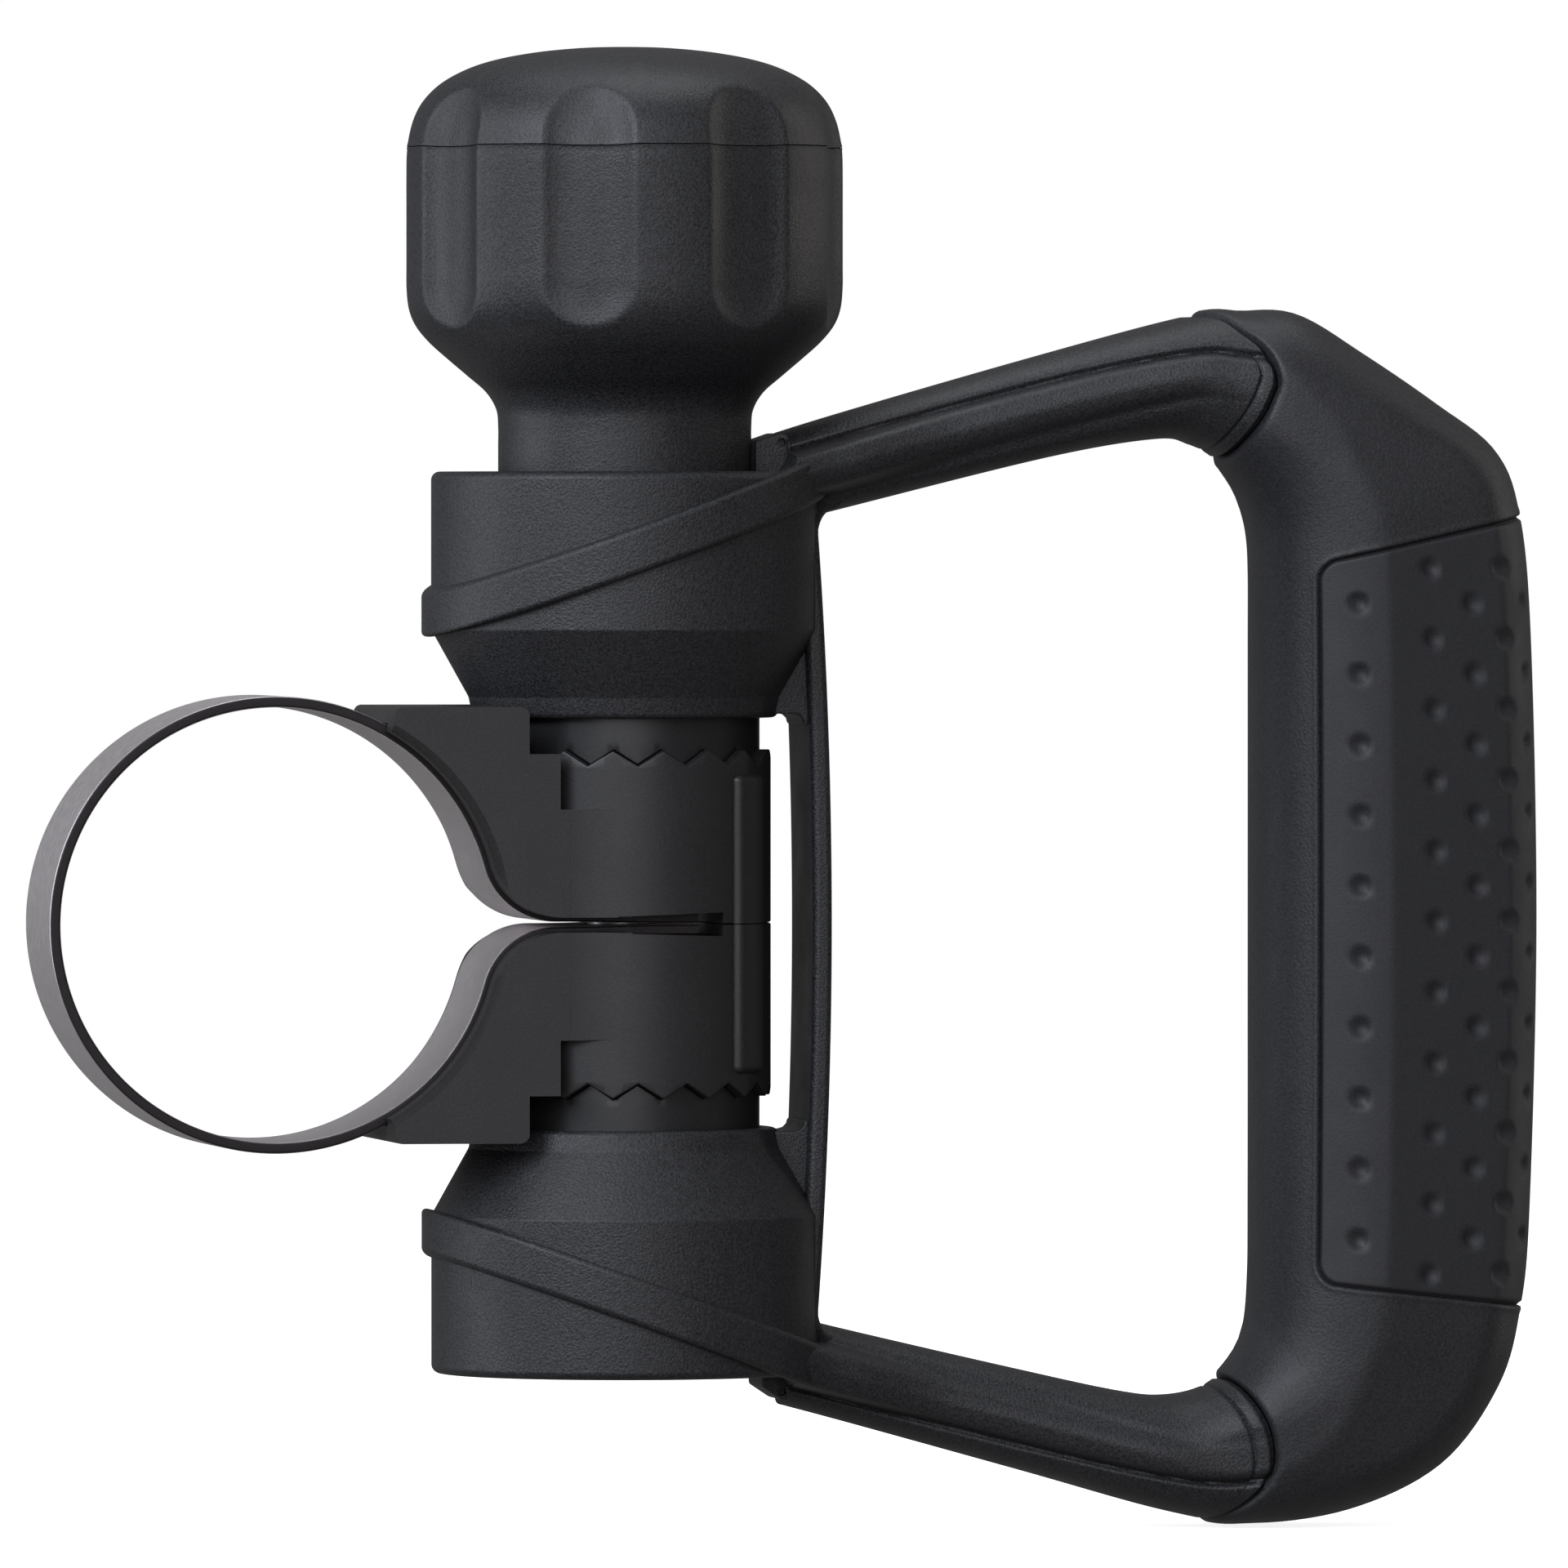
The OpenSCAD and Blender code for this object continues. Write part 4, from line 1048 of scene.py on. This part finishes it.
# %% Steel band
def band_path():
    """Places on the band's inner face with the direction out of it, from one tail to the other"""
    tail = [8.0 - 19.385 * k / 24 for k in range(24)]
    path = [((x, 0.05 + 0.25 * smooth(3, -11, x)), (0, 1)) for x in tail]
    for k in range(20):
        a = math.radians(270 - (90 - mouth) * k / 19)
        place = (nose_x + 10 * math.cos(a), nose_z + 10 * math.sin(a))
        path.append((place, (-math.cos(a), -math.sin(a))))
    upper_part = list(path)
    for k in range(1, 180):
        a = math.radians(mouth + (360 - 2 * mouth) * k / 180)
        place = (collar_x + collar_r * math.cos(a), collar_r * math.sin(a))
        path.append((place, (math.cos(a), math.sin(a))))
    return path + [((x, -z), (u, -v)) for (x, z), (u, v) in reversed(upper_part)]


inner, outer, rolled_edge = 0.02, 1.5, 0.3
strip = eased([(inner, -band_half, rolled_edge), (outer, -band_half, rolled_edge),
    (outer, band_half, rolled_edge), (inner, band_half, rolled_edge)], 4)
band_rows = [[at_bolt(x + u * t, y, z + v * t) for t, y in strip] for (x, z), (u, v) in band_path()]
band = combine(wrapped("steel_band", band_rows), rod("hole cutter", 5.6, -4, 4, 64))
finished(band, band_steel, "clamp_base", "clamp_band", 40)

# %% [markdown]
# ## Bolt, nut, bush and washer
#
# The metal parts inside can only be seen where the band's slit, the rings and the lower hub open.
# Each is turned or cut from hexagon bar, and its corners are chamfered as on any bought fastener.

# %% Fasteners
hex_r = 9.815


def hexagon(name, low, high, bore, chamfer):
    """Length of hexagon bar with both ends chamfered and a bore, or none"""
    bar = rod(name, hex_r, low, high, 6)
    cone = turned("chamfer", [(0, low), (hex_r - chamfer, low), (hex_r + 0.1, low + chamfer * 0.6),
        (hex_r + 0.1, high - chamfer * 0.6), (hex_r - chamfer, high), (0, high)], 96)
    bar = combine(bar, cone, "INTERSECT")
    if bore:
        bar = combine(bar, rod("drill", bore, low - 1, high + 1, 64))
    return bar


thread = [(5 - 0.62 * (k % 2), 45.4 + 0.75 * k) for k in range(45)]
shank = turned("shank", [(0, -36.2), (5, -36.2), (5, 45)] + thread + [(4.9, 79.2), (4.2, 80), (0, 80)], 64)
bolt = joined(hexagon("bolt_with_head", -42.4, -36.0, 0, 1.2), [shank])
finished(bolt, zinc_steel, "lower_ring_body", "clamp_bolt", 30)
nut = hexagon("end_nut", 69.5, 77.5, 5.01, 1.0)
finished(nut, zinc_steel, "lower_ring_body", "stop_nut", 30)
bush = hexagon("brass_bush", 43.0, 63.0, 5.05, 0.5)
finished(bush, bush_brass, "knob_body", "threaded_bush", 30)
washer = eased([(5.6, 40, 0.2), (15, 40, 0.3), (15, 41.5, 0.3), (5.6, 41.5, 0.2)], 3)
finished(turned("steel_washer", washer, 128), zinc_steel, "upper_ring_body", "thrust_washer")

# %% [markdown]
# The two release springs are wholly hidden between rings and jaws, so their CAD forms serve as they
# are, with the finish of drawn spring wire.

# %% Springs
for name in ("upper_spring", "lower_spring"):
    spring = nodes[name]
    spring.data.materials.clear()
    spring.data.materials.append(spring_steel)
print("springs dressed")

# %% [markdown]
# ## Camera, light and floor
#
# The photo was taken from some metres away through a long lens, a little to the left of square and
# just above the middle. The camera looks at a point between the knob and the grip.

# %% Camera
azimuth, elevation, reach = math.radians(-9.84), math.radians(0.77), 2.72
back = Vector((math.sin(azimuth) * math.cos(elevation), -math.cos(azimuth) * math.cos(elevation),
    math.sin(elevation)))
look_at = Vector((0.0707, 0.0, 0.0185))
camera = bpy.data.objects.new("camera", bpy.data.cameras.new("camera"))
bpy.context.scene.collection.objects.link(camera)
camera.data.sensor_width = 36
camera.data.lens = 464.5
camera.data.clip_end = 50
camera.location = look_at + back * reach
camera.rotation_mode = "QUATERNION"
camera.rotation_quaternion = (-back).to_track_quat("-Z", "Y")
bpy.context.scene.camera = camera
print("camera at", [round(v, 3) for v in camera.location])

# %% [markdown]
# Soft light comes from five large panels: the key high on the left, a broad one in front, one at the
# far left, a weak one on the right that draws the rims, and one overhead. The world and the floor
# look white, yet hardly light the piece, so its undersides stay dark.

# %% Lights
def panel(name, place, size, power, colour):
    data = bpy.data.lights.new(name, "AREA")
    data.shape = "RECTANGLE"
    data.size, data.size_y = size
    data.energy = power
    data.color = colour
    light = bpy.data.objects.new(name, data)
    bpy.context.scene.collection.objects.link(light)
    light.location = place
    light.rotation_mode = "QUATERNION"
    light.rotation_quaternion = (look_at - Vector(place)).to_track_quat("-Z", "Y")
    return light


panel("key_panel", (-1.1, -1.0, 0.85), (0.8, 1.0), 19, (0.84, 0.90, 1.0))
panel("front_panel", (-0.3, -1.8, 0.55), (1.6, 1.3), 13, (0.95, 0.95, 1.0))
panel("left_panel", (-1.5, 0.3, 0.3), (0.9, 1.5), 11, (0.88, 0.93, 1.0))
panel("rim_panel", (1.3, 0.25, 0.35), (0.5, 1.2), 2.5, (1.0, 0.94, 0.88))
panel("top_panel", (0.1, 0.1, 1.5), (1.2, 1.2), 9, (0.95, 0.97, 1.0))

world = bpy.data.worlds.new("studio")
bpy.context.scene.world = world
world.use_nodes = True
tree = world.node_tree
sky = tree.nodes["Background"]
sky.inputs["Color"].default_value = (1, 1, 1, 1)
seen = tree.nodes.new("ShaderNodeLightPath").outputs["Is Camera Ray"]
level = spread(tree, seen, (0, 1), (0.17, 1.0))
tree.links.new(level, sky.inputs["Strength"])
bpy.context.scene.view_settings.view_transform = "Standard"

# %% Floor
floor_z = cad_box[0].z - 0.0005
bpy.ops.mesh.primitive_circle_add(vertices=96, radius=2.5, fill_type="NGON", location=(0.07, 0, floor_z))
floor = bpy.context.active_object
floor.name = "floor"
paper = bpy.data.materials.new("floor_paper")
paper.use_nodes = True
set_inputs(paper.node_tree.nodes["Principled BSDF"], {"Base Color": (0.9, 0.9, 0.9, 1), "Roughness": 0.9,
    "Emission Color": (1, 1, 1, 1), "Emission Strength": 0.85})
floor.data.materials.append(paper)
floor.visible_diffuse = floor.visible_glossy = False
